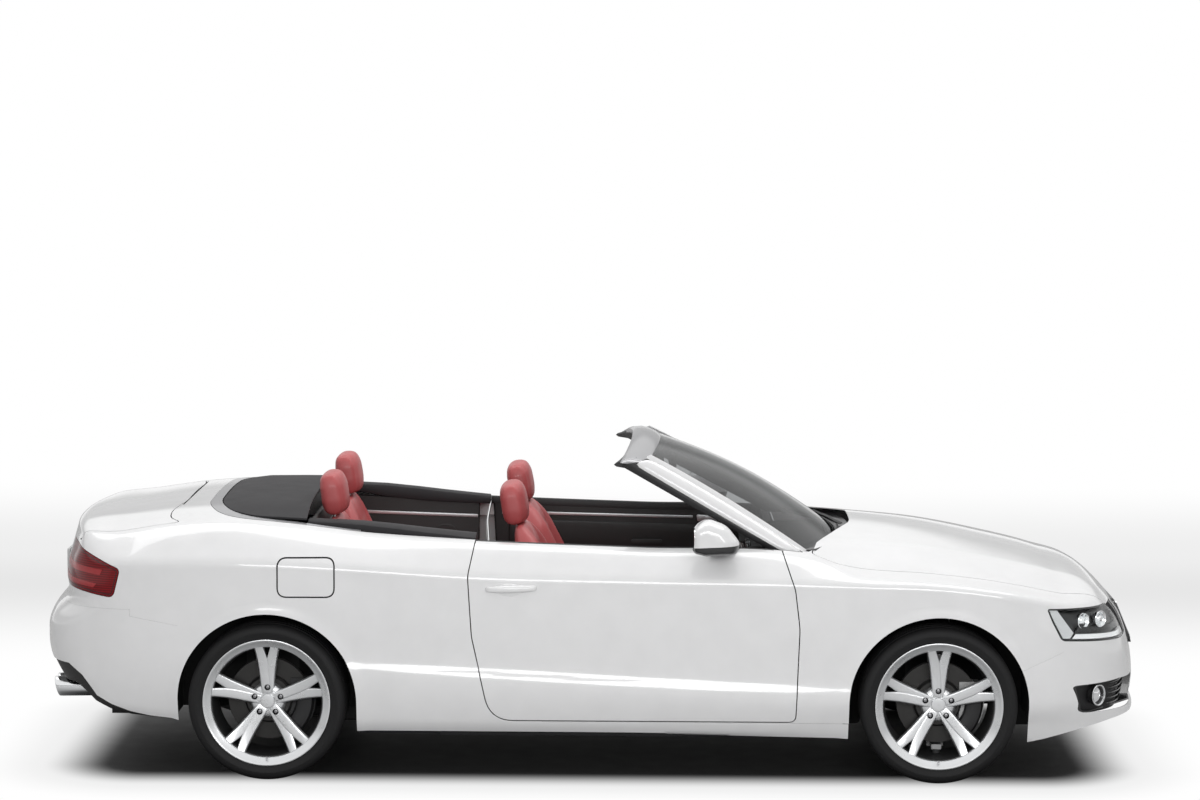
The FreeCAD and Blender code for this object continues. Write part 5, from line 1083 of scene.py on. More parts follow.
# ---------------------------------------------------------------------------
# Headlamps: a clear plastic cover flush with the fender over a black housing, with two
# bright bowls, a slanted indicator strip and a row of small lights along the bottom.
def sheet_from(name, line, way, low, high, thick, lift, part=None):
    """A piece of the body's outer form with an outline, thick inwards from lift."""
    part = part or slice(None)
    piece = skin(name, side_starts[:, part], side_ways[:, part], thick, lift)
    return shaped(piece, cutter(line, way, low, high), "INTERSECT")


nose_part, tail_part = slice(0, 110), slice(-150, None)
cover_clear = clear_material("lamp_cover", (0.96, 0.97, 0.97))
cover_clear.node_tree.nodes["Principled BSDF"].inputs["IOR"].default_value = 1.15
housing_black = plain_material("lamp_housing", (0.008, 0.008, 0.009), 0.35, coat=0.1)
bowl_bright = plain_material("lamp_reflector", (0.86, 0.87, 0.88), 0.1, 1.0)
strip_grey = plain_material("indicator_strip", (0.62, 0.63, 0.64), 0.3, 0.3, 0.5)
small_light = plain_material("small_lights", (0.92, 0.93, 0.94), 0.15, 0.0, 1.0)
lens = sheet_from("headlamp_lens_right", swollen(headlamp_line, -GAP / 2), "y", -1.2, -0.44, 0.0035,
    0.0, nose_part)
shaped(lens, cutter(swollen(hood_line, GAP), "z", 0.4, 1.3))
back = sheet_from("headlamp_housing_right", swollen(headlamp_line, 0.003), "y", -1.2, -0.46, 0.006,
    -0.03, nose_part)
wall = sheet_from("headlamp_rim_right", swollen(headlamp_line, 0.002), "y", -1.2, -0.45, 0.03,
    -0.0045, nose_part)
shaped(wall, cutter(swollen(headlamp_line, -0.006), "y", -1.2, -0.5))
bar = sheet_from("headlamp_strip_right", [(1.87, 0.716), (1.902, 0.716), (1.975, 0.618), (1.96, 0.596),
        (1.93, 0.598), (1.892, 0.668)], "y", -1.2, -0.5, 0.01, -0.01, nose_part)
band = sheet_from("headlamp_lights_right", [(1.968, 0.5945), (2.15, 0.582), (2.215, 0.578), (2.215, 0.596),
        (2.15, 0.6), (1.985, 0.613)], "y", -1.2, -0.5, 0.01, -0.01, nose_part)
shelf = sheet_from("headlamp_shelf_right", [(1.985, 0.618), (2.24, 0.604), (2.24, 0.626), (1.995, 0.638)],
    "y", -1.2, -0.5, 0.012, -0.018, nose_part)
housing = together([back, wall, shelf], "headlamp_housing_right")
pieces = [(lens, cover_clear, ["headlamps"]), (housing, housing_black, ())]
pieces += [(bar, strip_grey, ()), (band, small_light, ())]
bowls = []
for x, y, radius in ((2.02, -0.79, 0.034), (2.098, -0.735, 0.034)):
    bowl = turned("bowl", [(0.01, 0.032), (0.024, 0.02), (0.033, 0.0), (0.036, -0.003), (0.038, -0.001),
            (0.037, 0.01), (0.028, 0.03), (0.01, 0.04)], 48)
    glass = turned("bulb", [(0.0004, -0.004), (0.01, -0.002), (0.017, 0.004), (0.021, 0.013), (0.02, 0.018),
            (0.0004, 0.018)], 40)
    for piece in (bowl, glass):
        piece.data.transform(Matrix.Scale(radius / 0.038, 4))
        put(piece, (x, y, 0.662), 42)
    bowls += [bowl, glass]
pieces.append((together(bowls, "headlamp_bowls_right"), bowl_bright, ()))
for piece, finish, takes in pieces:
    both_done(piece, finish, takes, angle=50)

# ---------------------------------------------------------------------------
# Tail lamps: dark red ribbed plastic covers set into the rear corners, with a darker
# frame and two paler bars that stand a hair proud of them.
def red_lens():
    """Dark red plastic with fine level ribs."""
    made = plain_material("tail_lens", (0.2, 0.006, 0.01), 0.12, 0.0, 0.1)
    tree = made.node_tree
    shader = tree.nodes["Principled BSDF"]
    shader.inputs["Specular IOR Level"].default_value = 0.3
    place = next(n for n in tree.nodes if n.type == "TEX_COORD")
    lines = tree.nodes.new("ShaderNodeTexWave")
    lines.bands_direction = "Z"
    lines.inputs["Scale"].default_value = 34.0
    tree.links.new(place.outputs["Object"], lines.inputs["Vector"])
    tone = tree.nodes.new("ShaderNodeMix")
    tone.data_type = "RGBA"
    tone.inputs[6].default_value = (0.1, 0.001, 0.003, 1)
    tone.inputs[7].default_value = (0.22, 0.0025, 0.006, 1)
    tree.links.new(lines.outputs["Fac"], tone.inputs[0])
    tree.links.new(tone.outputs[2], shader.inputs["Base Color"])
    return made


tail_red = red_lens()
tail_dark = plain_material("tail_frame", (0.035, 0.001, 0.002), 0.2, 0.1, 0.3)
tail_bright = plain_material("tail_light", (0.34, 0.008, 0.012), 0.25, 0.0, 0.3)
lens = sheet_from("taillamp_lens_right", swollen(taillamp_line, -GAP / 2), "y", -1.2, -0.478, 0.02,
    0.0, tail_part)
frames = sheet_from("taillamp_frame_right", swollen(taillamp_line, -0.009), "y", -1.2, -0.495, 0.004,
    0.0009, tail_part)
shaped(frames, cutter(swollen(taillamp_line, -0.0125), *SIDE_AND_ENDS))
light_a = sheet_from("light_a", [(-2.2, 0.876), (-2.005, 0.86), (-2.015, 0.838), (-2.2, 0.85)], "y", -1.2,
    -0.5, 0.004, 0.0011, tail_part)
light_b = sheet_from("light_b", [(-2.2, 0.818), (-2.03, 0.802), (-2.045, 0.785), (-2.2, 0.797)], "y", -1.2,
    -0.5, 0.004, 0.0011, tail_part)
lights = together([light_a, light_b], "taillamp_lights_right")
for piece, finish, takes in ((lens, tail_red, ["taillamps"]), (frames, tail_dark, ()),
        (lights, tail_bright, ())):
    both_done(piece, finish, takes, angle=50)

# ---------------------------------------------------------------------------
# Front openings: a wide grille of flat black bars in a bright frame, a lower intake, and a
# round fog lamp in each outer intake.
gloss_black = plain_material("gloss_black", (0.018, 0.018, 0.019), 0.22, coat=0.5)
mesh_black = plain_material("mesh_black", (0.012, 0.012, 0.013), 0.55)
nose_starts = np.full((91, 57, 3), 1.2)
nose_starts[..., 1] = np.linspace(0, 0.9, 91)[:, None]
nose_starts[..., 2] = np.linspace(0.2, 0.76, 57)[None]
nose_grid = leaving(nose_starts, np.array([1.0, 0, 0]), 0.0, 1.4)[..., 0]


def nose_x(y, z):
    """Where the body's front is, at a place across and up."""
    u, v = np.clip(abs(y) * 100, 0, 89.999), np.clip((z - 0.2) * 100, 0, 55.999)
    i, j = int(u), int(v)
    u, v = u - i, v - j
    return float((nose_grid[i, j] * (1 - v) + nose_grid[i, j + 1] * v) * (1 - u)
        + (nose_grid[i + 1, j] * (1 - v) + nose_grid[i + 1, j + 1] * v) * u)


def nose_bar(name, y_line, low, high, deep, thick, slope=0.0):
    """A bar across the nose that follows its curve, deep behind the skin."""
    rows = []
    for y in y_line:
        a, b = nose_x(y, low) - deep, nose_x(y, high) - deep
        rows.append([(a, y, low), (a - thick, y, low), (b - thick, y, high), (b, y, high)])
    return lofted(name, rows)


fill = []
for z in np.arange(0.524, 0.682, 0.0235):
    half = 0.352 - (z - 0.52) * 0.1
    fill.append(nose_bar("bar", np.linspace(-half, half, 25), z - 0.0035, z + 0.0035, 0.01, 0.016))
for z in np.arange(0.304, 0.4, 0.022):
    fill.append(nose_bar("bar", np.linspace(-0.375, 0.375, 25), z - 0.003, z + 0.003, 0.016, 0.014))
    for side in (1, -1):
        fill.append(nose_bar("bar", side * np.linspace(0.475, 0.7, 13), z - 0.003, z + 0.003, 0.034, 0.012))
grille = eased(together(fill, "grille_bars"), 0.001, 1, 50)
done(grille, gloss_black, ["grille"])
backs = [nose_bar("back", np.linspace(-0.36, 0.36, 25), 0.5, 0.695, 0.05, 0.004)]
backs.append(nose_bar("back", np.linspace(-0.4, 0.4, 25), 0.284, 0.408, 0.055, 0.004))
for side in (1, -1):
    backs.append(nose_bar("back", side * np.linspace(0.44, 0.852, 19), 0.276, 0.414, 0.062, 0.004))
done(together(backs, "intake_backs"), mesh_black)


def opening_rim(name, line, deep, width, proud=-0.0015):
    """A lining round an opening of the nose, from the skin inwards."""
    points, faces = [], []
    inner = swollen(line, -width)
    count = len(line)
    for (y, z), (v, w) in zip(line, inner):
        f, g = nose_x(y, z), nose_x(v, w)
        points += [(f + proud, y, z), (f - deep, y, z), (g - deep, v, w), (g + proud - 0.002, v, w)]
    for i in range(count):
        j = (i + 1) % count
        for k in range(4):
            m = (k + 1) % 4
            faces.append([4 * i + k, 4 * j + k, 4 * j + m, 4 * i + m])
    return put_right(formed(name, points, faces))


chrome = plain_material("bright_trim", (0.78, 0.79, 0.8), 0.12, 1.0)
done(opening_rim("grille_surround", swollen(grille_line, 0.004), 0.046, 0.018, 0.011), gloss_black,
    angle=50)
done(opening_rim("grille_frame", swollen(grille_line, -0.0135), 0.03, 0.005, 0.0125), chrome,
    angle=50)
linings = [opening_rim("lining", intake_line, 0.05, 0.006), opening_rim("lining", fog_line, 0.058, 0.006),
    opening_rim("lining", [(-y, z) for y, z in reversed(fog_line)], 0.058, 0.006)]
done(together(linings, "intake_linings"), gloss_black, angle=50)
fog_bowl = [(0.0005, 0.026), (0.04, 0.026), (0.044, 0.004), (0.043, -0.003), (0.038, -0.004), (0.036, 0.01),
    (0.0005, 0.014)]
fog_ring = [(0.0375, -0.0035), (0.0425, -0.0055), (0.045, -0.0035), (0.045, 0.003), (0.0375, 0.003)]
fog_glass = [(0.0005, 0.0015), (0.018, 0.003), (0.034, 0.009), (0.034, 0.012), (0.0005, 0.012)]
fogs, rings, lamps = [], [], []
for side in (1, -1):
    front = nose_x(0.775, 0.35)
    for model, profile in ((fogs, fog_bowl), (rings, fog_ring), (lamps, fog_glass)):
        made = turned("fog", profile, 64)
        put(made, (front - 0.022, 0.775 * -side, 0.352), 90 - 44 * side, "Z")
        model.append(made)
done(together(fogs, "fog_housings"), gloss_black, angle=50)
done(together(rings, "fog_rings"), chrome, angle=50)
done(together(lamps, "fog_lenses"), bowl_bright, angle=50)

# ---------------------------------------------------------------------------
# Tail: a moulded black diffuser with ribs, fixed under the bumper, and a polished steel
# tip on each of the four tail pipes.
ribs = [plate("rib", rounded([(-2.155, 0.262, 0.02), (-2.075, 0.256, 0), (-2.065, 0.372, 0.01),
            (-2.11, 0.372, 0.02)], 4), "y", y - 0.004, y + 0.004, 0.0015, 1)
    for y in (-0.33, -0.22, -0.11, 0, 0.11, 0.22, 0.33)]
rows = []
for y in np.linspace(-0.598, 0.598, 49):
    lift = 0.062 * max(0.0, 1 - (abs(abs(y) - 0.515) / 0.11) ** 2) ** 0.5
    back_x = -2.15 + 0.06 * (abs(y) / 0.6) ** 3
    rows.append([(back_x, y, 0.376), (back_x - 0.012, y, 0.366), (back_x - 0.004, y, 0.3 + lift),
            (back_x + 0.028, y, 0.262 + lift), (back_x + 0.044, y, 0.262 + lift),
            (back_x + 0.03, y, 0.376)])
apron = lofted("apron", rows)
done(together([apron] + ribs, "diffuser_skin"), trim_dark, ["diffuser"], angle=45)
PIPES_Y, PIPE_Z, TIP_X = (-0.556, -0.474, 0.474, 0.556), 0.325, -2.2435
tips = []
for y in PIPES_Y:
    tip = turned("tip", [(0.0415, 0.004), (0.041, 0.0015), (0.0395, 0.0), (0.037, 0.0012), (0.0356, 0.004),
            (0.0356, 0.09), (0.04, 0.15), (0.0418, 0.02)], 72)
    put(tip, (TIP_X, y, PIPE_Z), -90, "Z")
    for vertex in tip.data.vertices:
        vertex.co.x -= (vertex.co.z - PIPE_Z) * 0.25 * max(0.0, 1 - (vertex.co.x - TIP_X) / 0.08)
    tips.append(tip)
done(together(tips, "pipe_tips"), chrome, angle=50)
bores = []
for y in PIPES_Y:
    bores.append(put(round_bar(0.0336, 0.003, 48), (-2.15, y, PIPE_Z), 90, "Y"))
done(together(bores, "pipe_bores"), plain_material("soot", (0.01, 0.01, 0.01), 0.8))

insert = sheet_from("tail_insert_right", [(-2.35, 0.474), (-2.158, 0.464), (-2.096, 0.419), (-2.055, 0.365),
        (-2.035, 0.336), (-1.976, 0.303), (-1.894, 0.274), (-1.811, 0.258), (-1.8, 0.247), (-1.896, 0.25),
        (-1.978, 0.274), (-2.045, 0.306), (-2.08, 0.34), (-2.13, 0.378), (-2.35, 0.378)], "y", -1.2, -0.3,
    0.01, -0.006, tail_part)
both_done(insert, trim_dark, angle=45)

# Rear number plate: a blank pale plate of painted sheet, screwed to the trunk lid's face.
blank = plain_material("blank_plate", (0.6, 0.6, 0.6), 0.4, coat=0.3)
rear_plate = plate("rear_plate", rounded([(-0.26, 0.755, 0.008), (0.26, 0.755, 0.008), (0.26, 0.865, 0.008),
            (-0.26, 0.865, 0.008)], 4), "x", -2.2475, -2.236, 0.0015, 2)
done(rear_plate, blank, body="trunk_lid", angle=40)

# ---------------------------------------------------------------------------
# Door mirrors: painted plastic shells with a black underside, on a black foot that is
# screwed to the door, with the silvered glass facing back.
def mirror_section(y, size, shift=0.0):
    """The mirror shell's outline at one place across, drawn smaller towards its ends."""
    corners = [(0.411, 0.955, 0.022), (0.411, 1.06, 0.06), (0.47, 1.096, 0.06), (0.552, 1.064, 0.1),
        (0.606, 0.996, 0.035), (0.592, 0.95, 0.03), (0.4635, 0.942, 0.04)]
    line = rounded(corners, 8)
    return [(0.5 + shift + (u - 0.5) * size, y, 1.014 + (w - 1.014) * size) for u, w in line]


shell_rows = [(-1.0095, 0.3, -0.03), (-1.008, 0.55, -0.022), (-1.0, 0.76, -0.012), (-0.985, 0.9, -0.005),
    (-0.96, 0.98, 0.0), (-0.93, 1.0, 0.0), (-0.895, 0.985, 0.0), (-0.872, 0.93, 0.002),
    (-0.857, 0.82, 0.006), (-0.852, 0.55, 0.01)]
shell = lofted("mirror_shell_right", [mirror_section(*row) for row in shell_rows])
recess = plate("recess", rounded([(-0.996, 0.966, 0.03), (-0.868, 0.968, 0.02), (-0.868, 1.06, 0.03),
            (-0.996, 1.056, 0.035)], 6), "x", 0.3, 0.424, 0.004, 2)
shaped(shell, recess)
under = twin(shell, "mirror_under_right")
lower_part = [(0.3, 0.93), (0.66, 0.93), (0.66, 0.992), (0.3, 0.976)]
shaped(under, cutter(lower_part, "y", -1.05, -0.8), "INTERSECT")
shaped(shell, cutter([(0.3, 0.9), (0.66, 0.9), (0.66, 0.9935), (0.3, 0.9775)], "y", -1.05, -0.8))
mirror_glass = plate("mirror_glass_right", rounded([(-0.993, 0.969, 0.03), (-0.871, 0.971, 0.02),
            (-0.871, 1.057, 0.03), (-0.993, 1.053, 0.035)], 6), "x", 0.417, 0.4235, 0.0015, 2)
foot_rows = []
for t in np.linspace(0, 1, 9):
    y = -0.738 - 0.15 * t
    low, high = 0.9265 + 0.036 * t ** 0.8, 0.972 + 0.018 * t
    a, b = 0.47 + 0.022 * t, 0.62 - 0.055 * t
    foot_rows.append([(u, y, w) for u, w in ((a, low + 0.008), (a + 0.004, high - 0.006), (a + 0.03, high),
                (b - 0.03, high - 0.006), (b, low + 0.012), (b - 0.02, low), (a + 0.02, low))])
foot = eased(lofted("mirror_foot_right", foot_rows), 0.003, 2, 40)
mirror_silver = plain_material("mirror_silver", (0.85, 0.86, 0.87), 0.02, 1.0)
for piece, finish, takes in ((shell, paint, ["mirror_right"]), (under, gloss_black, ()),
                             (mirror_glass, mirror_silver, ()), (foot, gloss_black, ())):
    both_done(piece, finish, takes, body="door_right", angle=40)

# ---------------------------------------------------------------------------
# Top cover: a rigid charcoal lid over the stowed roof, in a satin metal rim, and the
# padded ledges that run forward from it along both sides of the cockpit.
cover_x = np.array([-1.6275, -1.5595, -1.4575, -1.3, -1.1675])


def cover_top(x, y):
    """Height of the top cover: a gentle crown that falls away at both sides."""
    rows = ([1.078, 1.102, 1.114, 1.116, 1.1165], [1.062, 1.088, 1.101, 1.103, 1.103],
        [1.033, 1.053, 1.063, 1.063, 1.06])
    middle, ridge, edge = (np.interp(x, cover_x, row) for row in rows)
    y = abs(y)
    if y < 0.44:
        return middle + (ridge - middle) * (y / 0.44) ** 2
    t = (y - 0.44) / 0.258
    fall = 2 * (ridge - middle) / 0.44 * 0.258
    return ridge + fall * t + (edge - ridge - fall) * t * t


def cover_plate(name, line, top, lift, thick, x_line, y_line):
    """A plate with an outline, under a height that is given over x and y."""
    points = [(x, y, top(x, y) + lift) for x in x_line for y in y_line]
    points += [(x, y, top(x, y) + lift - thick) for x in x_line for y in y_line]
    piece = put_right(formed(name, points, net_faces(len(x_line), len(y_line))))
    return shaped(piece, cutter(line, "z", 0.95, 1.2), "INTERSECT")


net_x, net_y = np.linspace(-1.66, -1.1, 57), np.linspace(-0.74, 0.74, 75)
charcoal = plain_material("cover_charcoal", (0.024, 0.023, 0.025), 0.62, grain=0.3, grain_size=1100,
    depth=0.0003)
charcoal.node_tree.nodes["Principled BSDF"].inputs["Specular IOR Level"].default_value = 0.22
inner_half = rounded([(-1.56, 0.5, 0), (-1.574, -0.43, 0.8), (-1.47, -0.69, 0.42), (-1.1, -0.7155, 0.8),
        (-0.8, -0.721, 0), (-0.8, 0.5, 0)])[1:-1]
inner_line = both_halves_of(inner_half)
cover = cover_plate("top_cover_lid", swollen(inner_line, -0.0042), cover_top, 0.0, 0.008, net_x, net_y)
shaped(cover, cutter([(-1.178, -0.8), (-1.178, 0.8), (-1.0, 0.8), (-1.0, -0.8)], "z", 0.9, 1.2))
eased(cover, 0.003, 3, 50)
done(cover, charcoal, ["top_cover"], body="top_cover", angle=40)
band_x, band_y = np.linspace(-1.66, -0.9, 93), np.linspace(-0.76, 0.76, 93)
here_x, here_y = np.meshgrid(band_x, band_y, indexing="ij")
band_z = crown_top(here_x.ravel(), np.abs(here_y).ravel()).reshape(here_x.shape)


def band_top(x, y):
    """Height of the body at the nearest point of a net over the cockpit's edge."""
    i, j = np.clip((x + 1.66) / 0.76 * 92, 0, 92), np.clip((y + 0.76) / 1.52 * 92, 0, 92)
    return float(band_z[int(round(i)), int(round(j))])


rim_band = cover_plate("cover_rim", swollen(cabin_whole, -0.0008), band_top, 0.0012, 0.014, band_x, band_y)
shaped(rim_band, cutter(inner_line, "z", 0.95, 1.2))
shaped(rim_band, cutter([(-0.954, -0.8), (-0.954, 0.8), (-0.6, 0.8), (-0.6, -0.8)], "z", 0.9, 1.2))
done(rim_band, header_grey, angle=40)

ledge_rows = []
stations = [(-1.174, 1.024, 1.052, 0.7115), (-1.05, 1.008, 1.047, 0.7125), (-0.9495, 0.99, 1.0425, 0.72),
    (-0.8, 0.975, 1.028, 0.726), (-0.6875, 0.967, 1.015, 0.732), (-0.55, 0.962, 1.001, 0.738),
    (-0.478, 0.958, 0.994, 0.74)]
for x, low, high, outer in stations:
    ledge_rows.append([(x, -u, w) for u, w in ((0.612, low), (0.612, high - 0.014), (0.618, high - 0.004),
                (0.632, high), (0.68, high + 0.001), (0.7, high - 0.003), (outer - 0.003, high - 0.01),
                (outer - 0.002, low))])
ledge = eased(lofted("cockpit_ledge_right", ledge_rows), 0.003, 2, 45)
both_done(ledge, charcoal, ["cockpit_trim"], angle=40)
quarter_card = plate("quarter_card_right", rounded([(-1.13, 0.995, 0.02), (-1.1, 0.5, 0.05),
            (-0.96, 0.3, 0.05), (-0.535, 0.3, 0.05), (-0.525, 0.975, 0.02)], 5), "y", -0.645, -0.628, 0.006)
quarter_rest = plate("quarter_rest", rounded([(-1.02, 0.62, 0.03), (-0.56, 0.62, 0.03), (-0.56, 0.7, 0.03),
            (-1.02, 0.7, 0.03)], 5), "y", -0.64, -0.606, 0.01)
quarter_strip = plate("quarter_strip_right", [(-1.06, 0.912), (-0.535, 0.895), (-0.535, 0.909),
        (-1.06, 0.926)], "y", -0.634, -0.622, 0.002)
speaker = turned("speaker", [(0.0004, -0.004), (0.06, -0.004), (0.064, 0.0), (0.06, 0.004),
        (0.0004, 0.004)], 48)
put(speaker, (-0.68, -0.627, 0.8))
for piece, finish in ((together([quarter_card, quarter_rest, speaker], "quarter_card_right"), trim_dark),
        (quarter_strip, satin)):
    both_done(piece, finish, angle=45)
shelf = plate("rear_shelf", [(-1.172, 0.985), (-1.172, 1.045), (-1.15, 1.045), (-1.135, 0.985)], "y",
    -0.606, 0.606, 0.006)
done(shelf, trim_dark, angle=45)

# ---------------------------------------------------------------------------
# Seats: foam pads in red leather, the centre panels pleated across between raised
# side bolsters, with head rests on pairs of steel posts.
leather = plain_material("coral_leather", (0.46, 0.085, 0.088), 0.46, 0.0, 0.12, grain=0.3, grain_size=850,
    depth=0.0003)


def stuffed(name, spine, halves, fronts, backs, bolster, pleats=(), y=0.0, steps=44, around=72,
        groove=0.006, split=0.58, corner=0.55):
    """A padded form along a spine in side view; the pads swell to the front of it."""
    t_row = np.linspace(0, 1, len(spine))
    xs, zs = [p[0] for p in spine], [p[1] for p in spine]
    sections = []
    for i in range(steps + 1):
        s = 0.5 - 0.5 * math.cos(math.pi * i / steps)
        x, z = flow(t_row, xs, s), flow(t_row, zs, s)
        before, after = max(0, s - 0.002), min(1, s + 0.002)
        dx = flow(t_row, xs, after) - flow(t_row, xs, before)
        dz = flow(t_row, zs, after) - flow(t_row, zs, before)
        size = math.hypot(dx, dz)
        nx, nz = dz / size, -dx / size
        end = min(1.0, max(0.0, 1 - abs(2 * s - 1) ** 7)) ** 0.42
        end = max(end, 0.04)
        half = np.interp(s, t_row, halves) * (0.72 + 0.28 * end)
        front, back = np.interp(s, t_row, fronts) * end, np.interp(s, t_row, backs) * end
        high = np.interp(s, t_row, bolster) * end
        row = []
        for k in range(around):
            a = 2 * math.pi * k / around
            c, n = math.cos(a), math.sin(a)
            v = math.copysign(abs(c) ** corner, c)
            u = (front if n > 0 else back) * math.copysign(abs(n) ** 0.62, n)
            if n > 0:
                w = abs(v)
                hump = math.pi * min(1, max(0, (w - split) / (1.02 - split)))
                u += high * max(0.0, math.sin(hump)) ** 0.8
                u -= groove * math.exp(-((w - split) / 0.022) ** 2) * end
                if w < split:
                    for p in pleats:
                        u -= groove * 0.8 * math.exp(-((s - p) / 0.01) ** 2)
                u += 0.008 * (1 - (w / split) ** 2) * end if w < split else 0
            row.append((x + nx * u, y + v * half, z + nz * u))
        sections.append(row)
    return lofted(name, sections)


posts_steel = plain_material("post_steel", (0.6, 0.6, 0.61), 0.2, 1.0)
seat_shell = plain_material("seat_plastic", (0.03, 0.03, 0.031), 0.5)


def head_rest(name, spine, half, y):
    """A rounded head rest along its spine."""
    return stuffed(name, spine, [half * 0.92, half, half, half * 0.9], [0.052, 0.056, 0.056, 0.046],
        [0.044, 0.05, 0.048, 0.036], [0, 0, 0, 0], (), y, 30, 48, 0.002, 0.8, 0.62)


def posts(name, spots, low, high, lean):
    """Steel posts between two heights, leaning back."""
    rods = []
    for x, y in spots:
        rods.append(put(round_bar(0.006, high - low, 16), (x, y, (low + high) / 2), lean, "Y"))
    return together(rods, name)


SEAT_X, BENCH_X = -0.0465, -1.3275  # where the front seats and the bench are measured from
CUSHION_Z = 0.376  # level about which a cushion is turned over


def turn_over(cushion):
    """Turns a cushion the right way up: along a spine that runs forward, pads swell down."""
    for vertex in cushion.data.vertices:
        vertex.co.z = 2 * CUSHION_Z - vertex.co.z
    cushion.data.flip_normals()


for side_name, y in (("right", -0.375), ("left", 0.375)):
    back_pad = stuffed("front_back_" + side_name, [(SEAT_X - 0.085, 0.455), (SEAT_X - 0.13, 0.6),
            (SEAT_X - 0.18, 0.76), (SEAT_X - 0.225, 0.9), (SEAT_X - 0.262, 1.005)],
        [0.215, 0.235, 0.245, 0.215, 0.15], [0.055, 0.055, 0.05, 0.045, 0.035],
        [0.06, 0.06, 0.055, 0.05, 0.035], [0.04, 0.05, 0.045, 0.025, 0.0],
        (0.24, 0.34, 0.44, 0.54, 0.64, 0.74), y)
    cushion = stuffed("front_cushion_" + side_name, [(SEAT_X - 0.06, 0.375), (SEAT_X + 0.08, 0.368),
            (SEAT_X + 0.22, 0.375), (SEAT_X + 0.36, 0.39), (SEAT_X + 0.465, 0.385)],
        [0.22, 0.24, 0.245, 0.245, 0.225], [0.06, 0.062, 0.066, 0.07, 0.05],
        [0.05, 0.055, 0.06, 0.07, 0.06], [0.025, 0.03, 0.032, 0.024, 0.0], (0.26, 0.38, 0.5, 0.62, 0.74), y)
    turn_over(cushion)
    rest_pad = head_rest("front_head_" + side_name, [(SEAT_X - 0.283, 1.004), (SEAT_X - 0.288, 1.065),
            (SEAT_X - 0.3, 1.125), (SEAT_X - 0.318, 1.172)], 0.128, y)
    for piece, takes in ((back_pad, ["front_seat_" + side_name]), (cushion, ()), (rest_pad, ())):
        done(piece, leather, takes, angle=60)
    base_line = rounded([(SEAT_X - 0.08, 0.205, 0.02), (SEAT_X + 0.4, 0.205, 0.03),
            (SEAT_X + 0.44, 0.315, 0.03), (SEAT_X - 0.12, 0.33, 0.03)], 4)
    base = plate("seat_base_" + side_name, base_line, "y", y - 0.2, y + 0.2, 0.012)
    rail_line = [(SEAT_X - 0.1, 0.178), (SEAT_X + 0.42, 0.178), (SEAT_X + 0.42, 0.206),
        (SEAT_X - 0.1, 0.206)]
    rail_a = plate("seat_rail", rail_line, "y", y - 0.205, y - 0.165, 0.003)
    rail_b = plate("seat_rail", rail_line, "y", y + 0.165, y + 0.205, 0.003)
    done(together([base, rail_a, rail_b], "seat_base_" + side_name), seat_shell, angle=45)
    feet = [(SEAT_X - 0.275, y - 0.045), (SEAT_X - 0.275, y + 0.045)]
    done(posts("front_posts_" + side_name, feet, 0.96, 1.05, -8), posts_steel, angle=60)

for side_name, y in (("right", -0.31), ("left", 0.31)):
    bench = ["rear_seat"] if side_name == "right" else ()
    back_pad = stuffed("rear_back_" + side_name, [(BENCH_X + 0.385, 0.43), (BENCH_X + 0.345, 0.57),
            (BENCH_X + 0.3, 0.72), (BENCH_X + 0.265, 0.87), (BENCH_X + 0.236, 1.03)],
        [0.275, 0.285, 0.285, 0.275, 0.215], [0.055, 0.055, 0.052, 0.05, 0.035],
        [0.04, 0.042, 0.042, 0.04, 0.032], [0.022, 0.028, 0.028, 0.02, 0.0], (0.3, 0.42, 0.54, 0.66), y)
    cushion = stuffed("rear_cushion_" + side_name, [(BENCH_X + 0.39, 0.36), (BENCH_X + 0.5, 0.362),
            (BENCH_X + 0.6, 0.37), (BENCH_X + 0.71, 0.385), (BENCH_X + 0.815, 0.385)],
        [0.275, 0.285, 0.285, 0.285, 0.265], [0.055, 0.06, 0.062, 0.064, 0.05],
        [0.045, 0.055, 0.06, 0.07, 0.06], [0.018, 0.022, 0.022, 0.018, 0.0], (0.34, 0.5, 0.66), y)
    turn_over(cushion)
    rest_pad = head_rest("rear_head_" + side_name, [(BENCH_X + 0.237, 1.04), (BENCH_X + 0.232, 1.1),
            (BENCH_X + 0.222, 1.16), (BENCH_X + 0.206, 1.212)], 0.123, y * 0.36 / 0.31)
    for piece, takes in ((back_pad, bench), (cushion, ()), (rest_pad, ())):
        done(piece, leather, takes, angle=60)
    feet = [(BENCH_X + 0.236, y * 1.161 - 0.04), (BENCH_X + 0.236, y * 1.161 + 0.04)]
    done(posts("rear_posts_" + side_name, feet, 0.985, 1.085, -6), posts_steel, angle=60)
seat_step = plate("rear_seat_base", rounded([(-1.12, 0.19, 0.02), (-0.56, 0.19, 0.02), (-0.53, 0.33, 0.03),
            (-1.13, 0.33, 0.02)], 4), "y", -0.585, 0.585, 0.012)
done(seat_step, trim_dark, angle=45)
bulkhead = plate("rear_bulkhead", [(-1.135, 0.3), (-1.115, 0.3), (-1.128, 0.985), (-1.148, 0.985)], "y",
    -0.6, 0.6, 0.003)
done(bulkhead, trim_dark, angle=45)

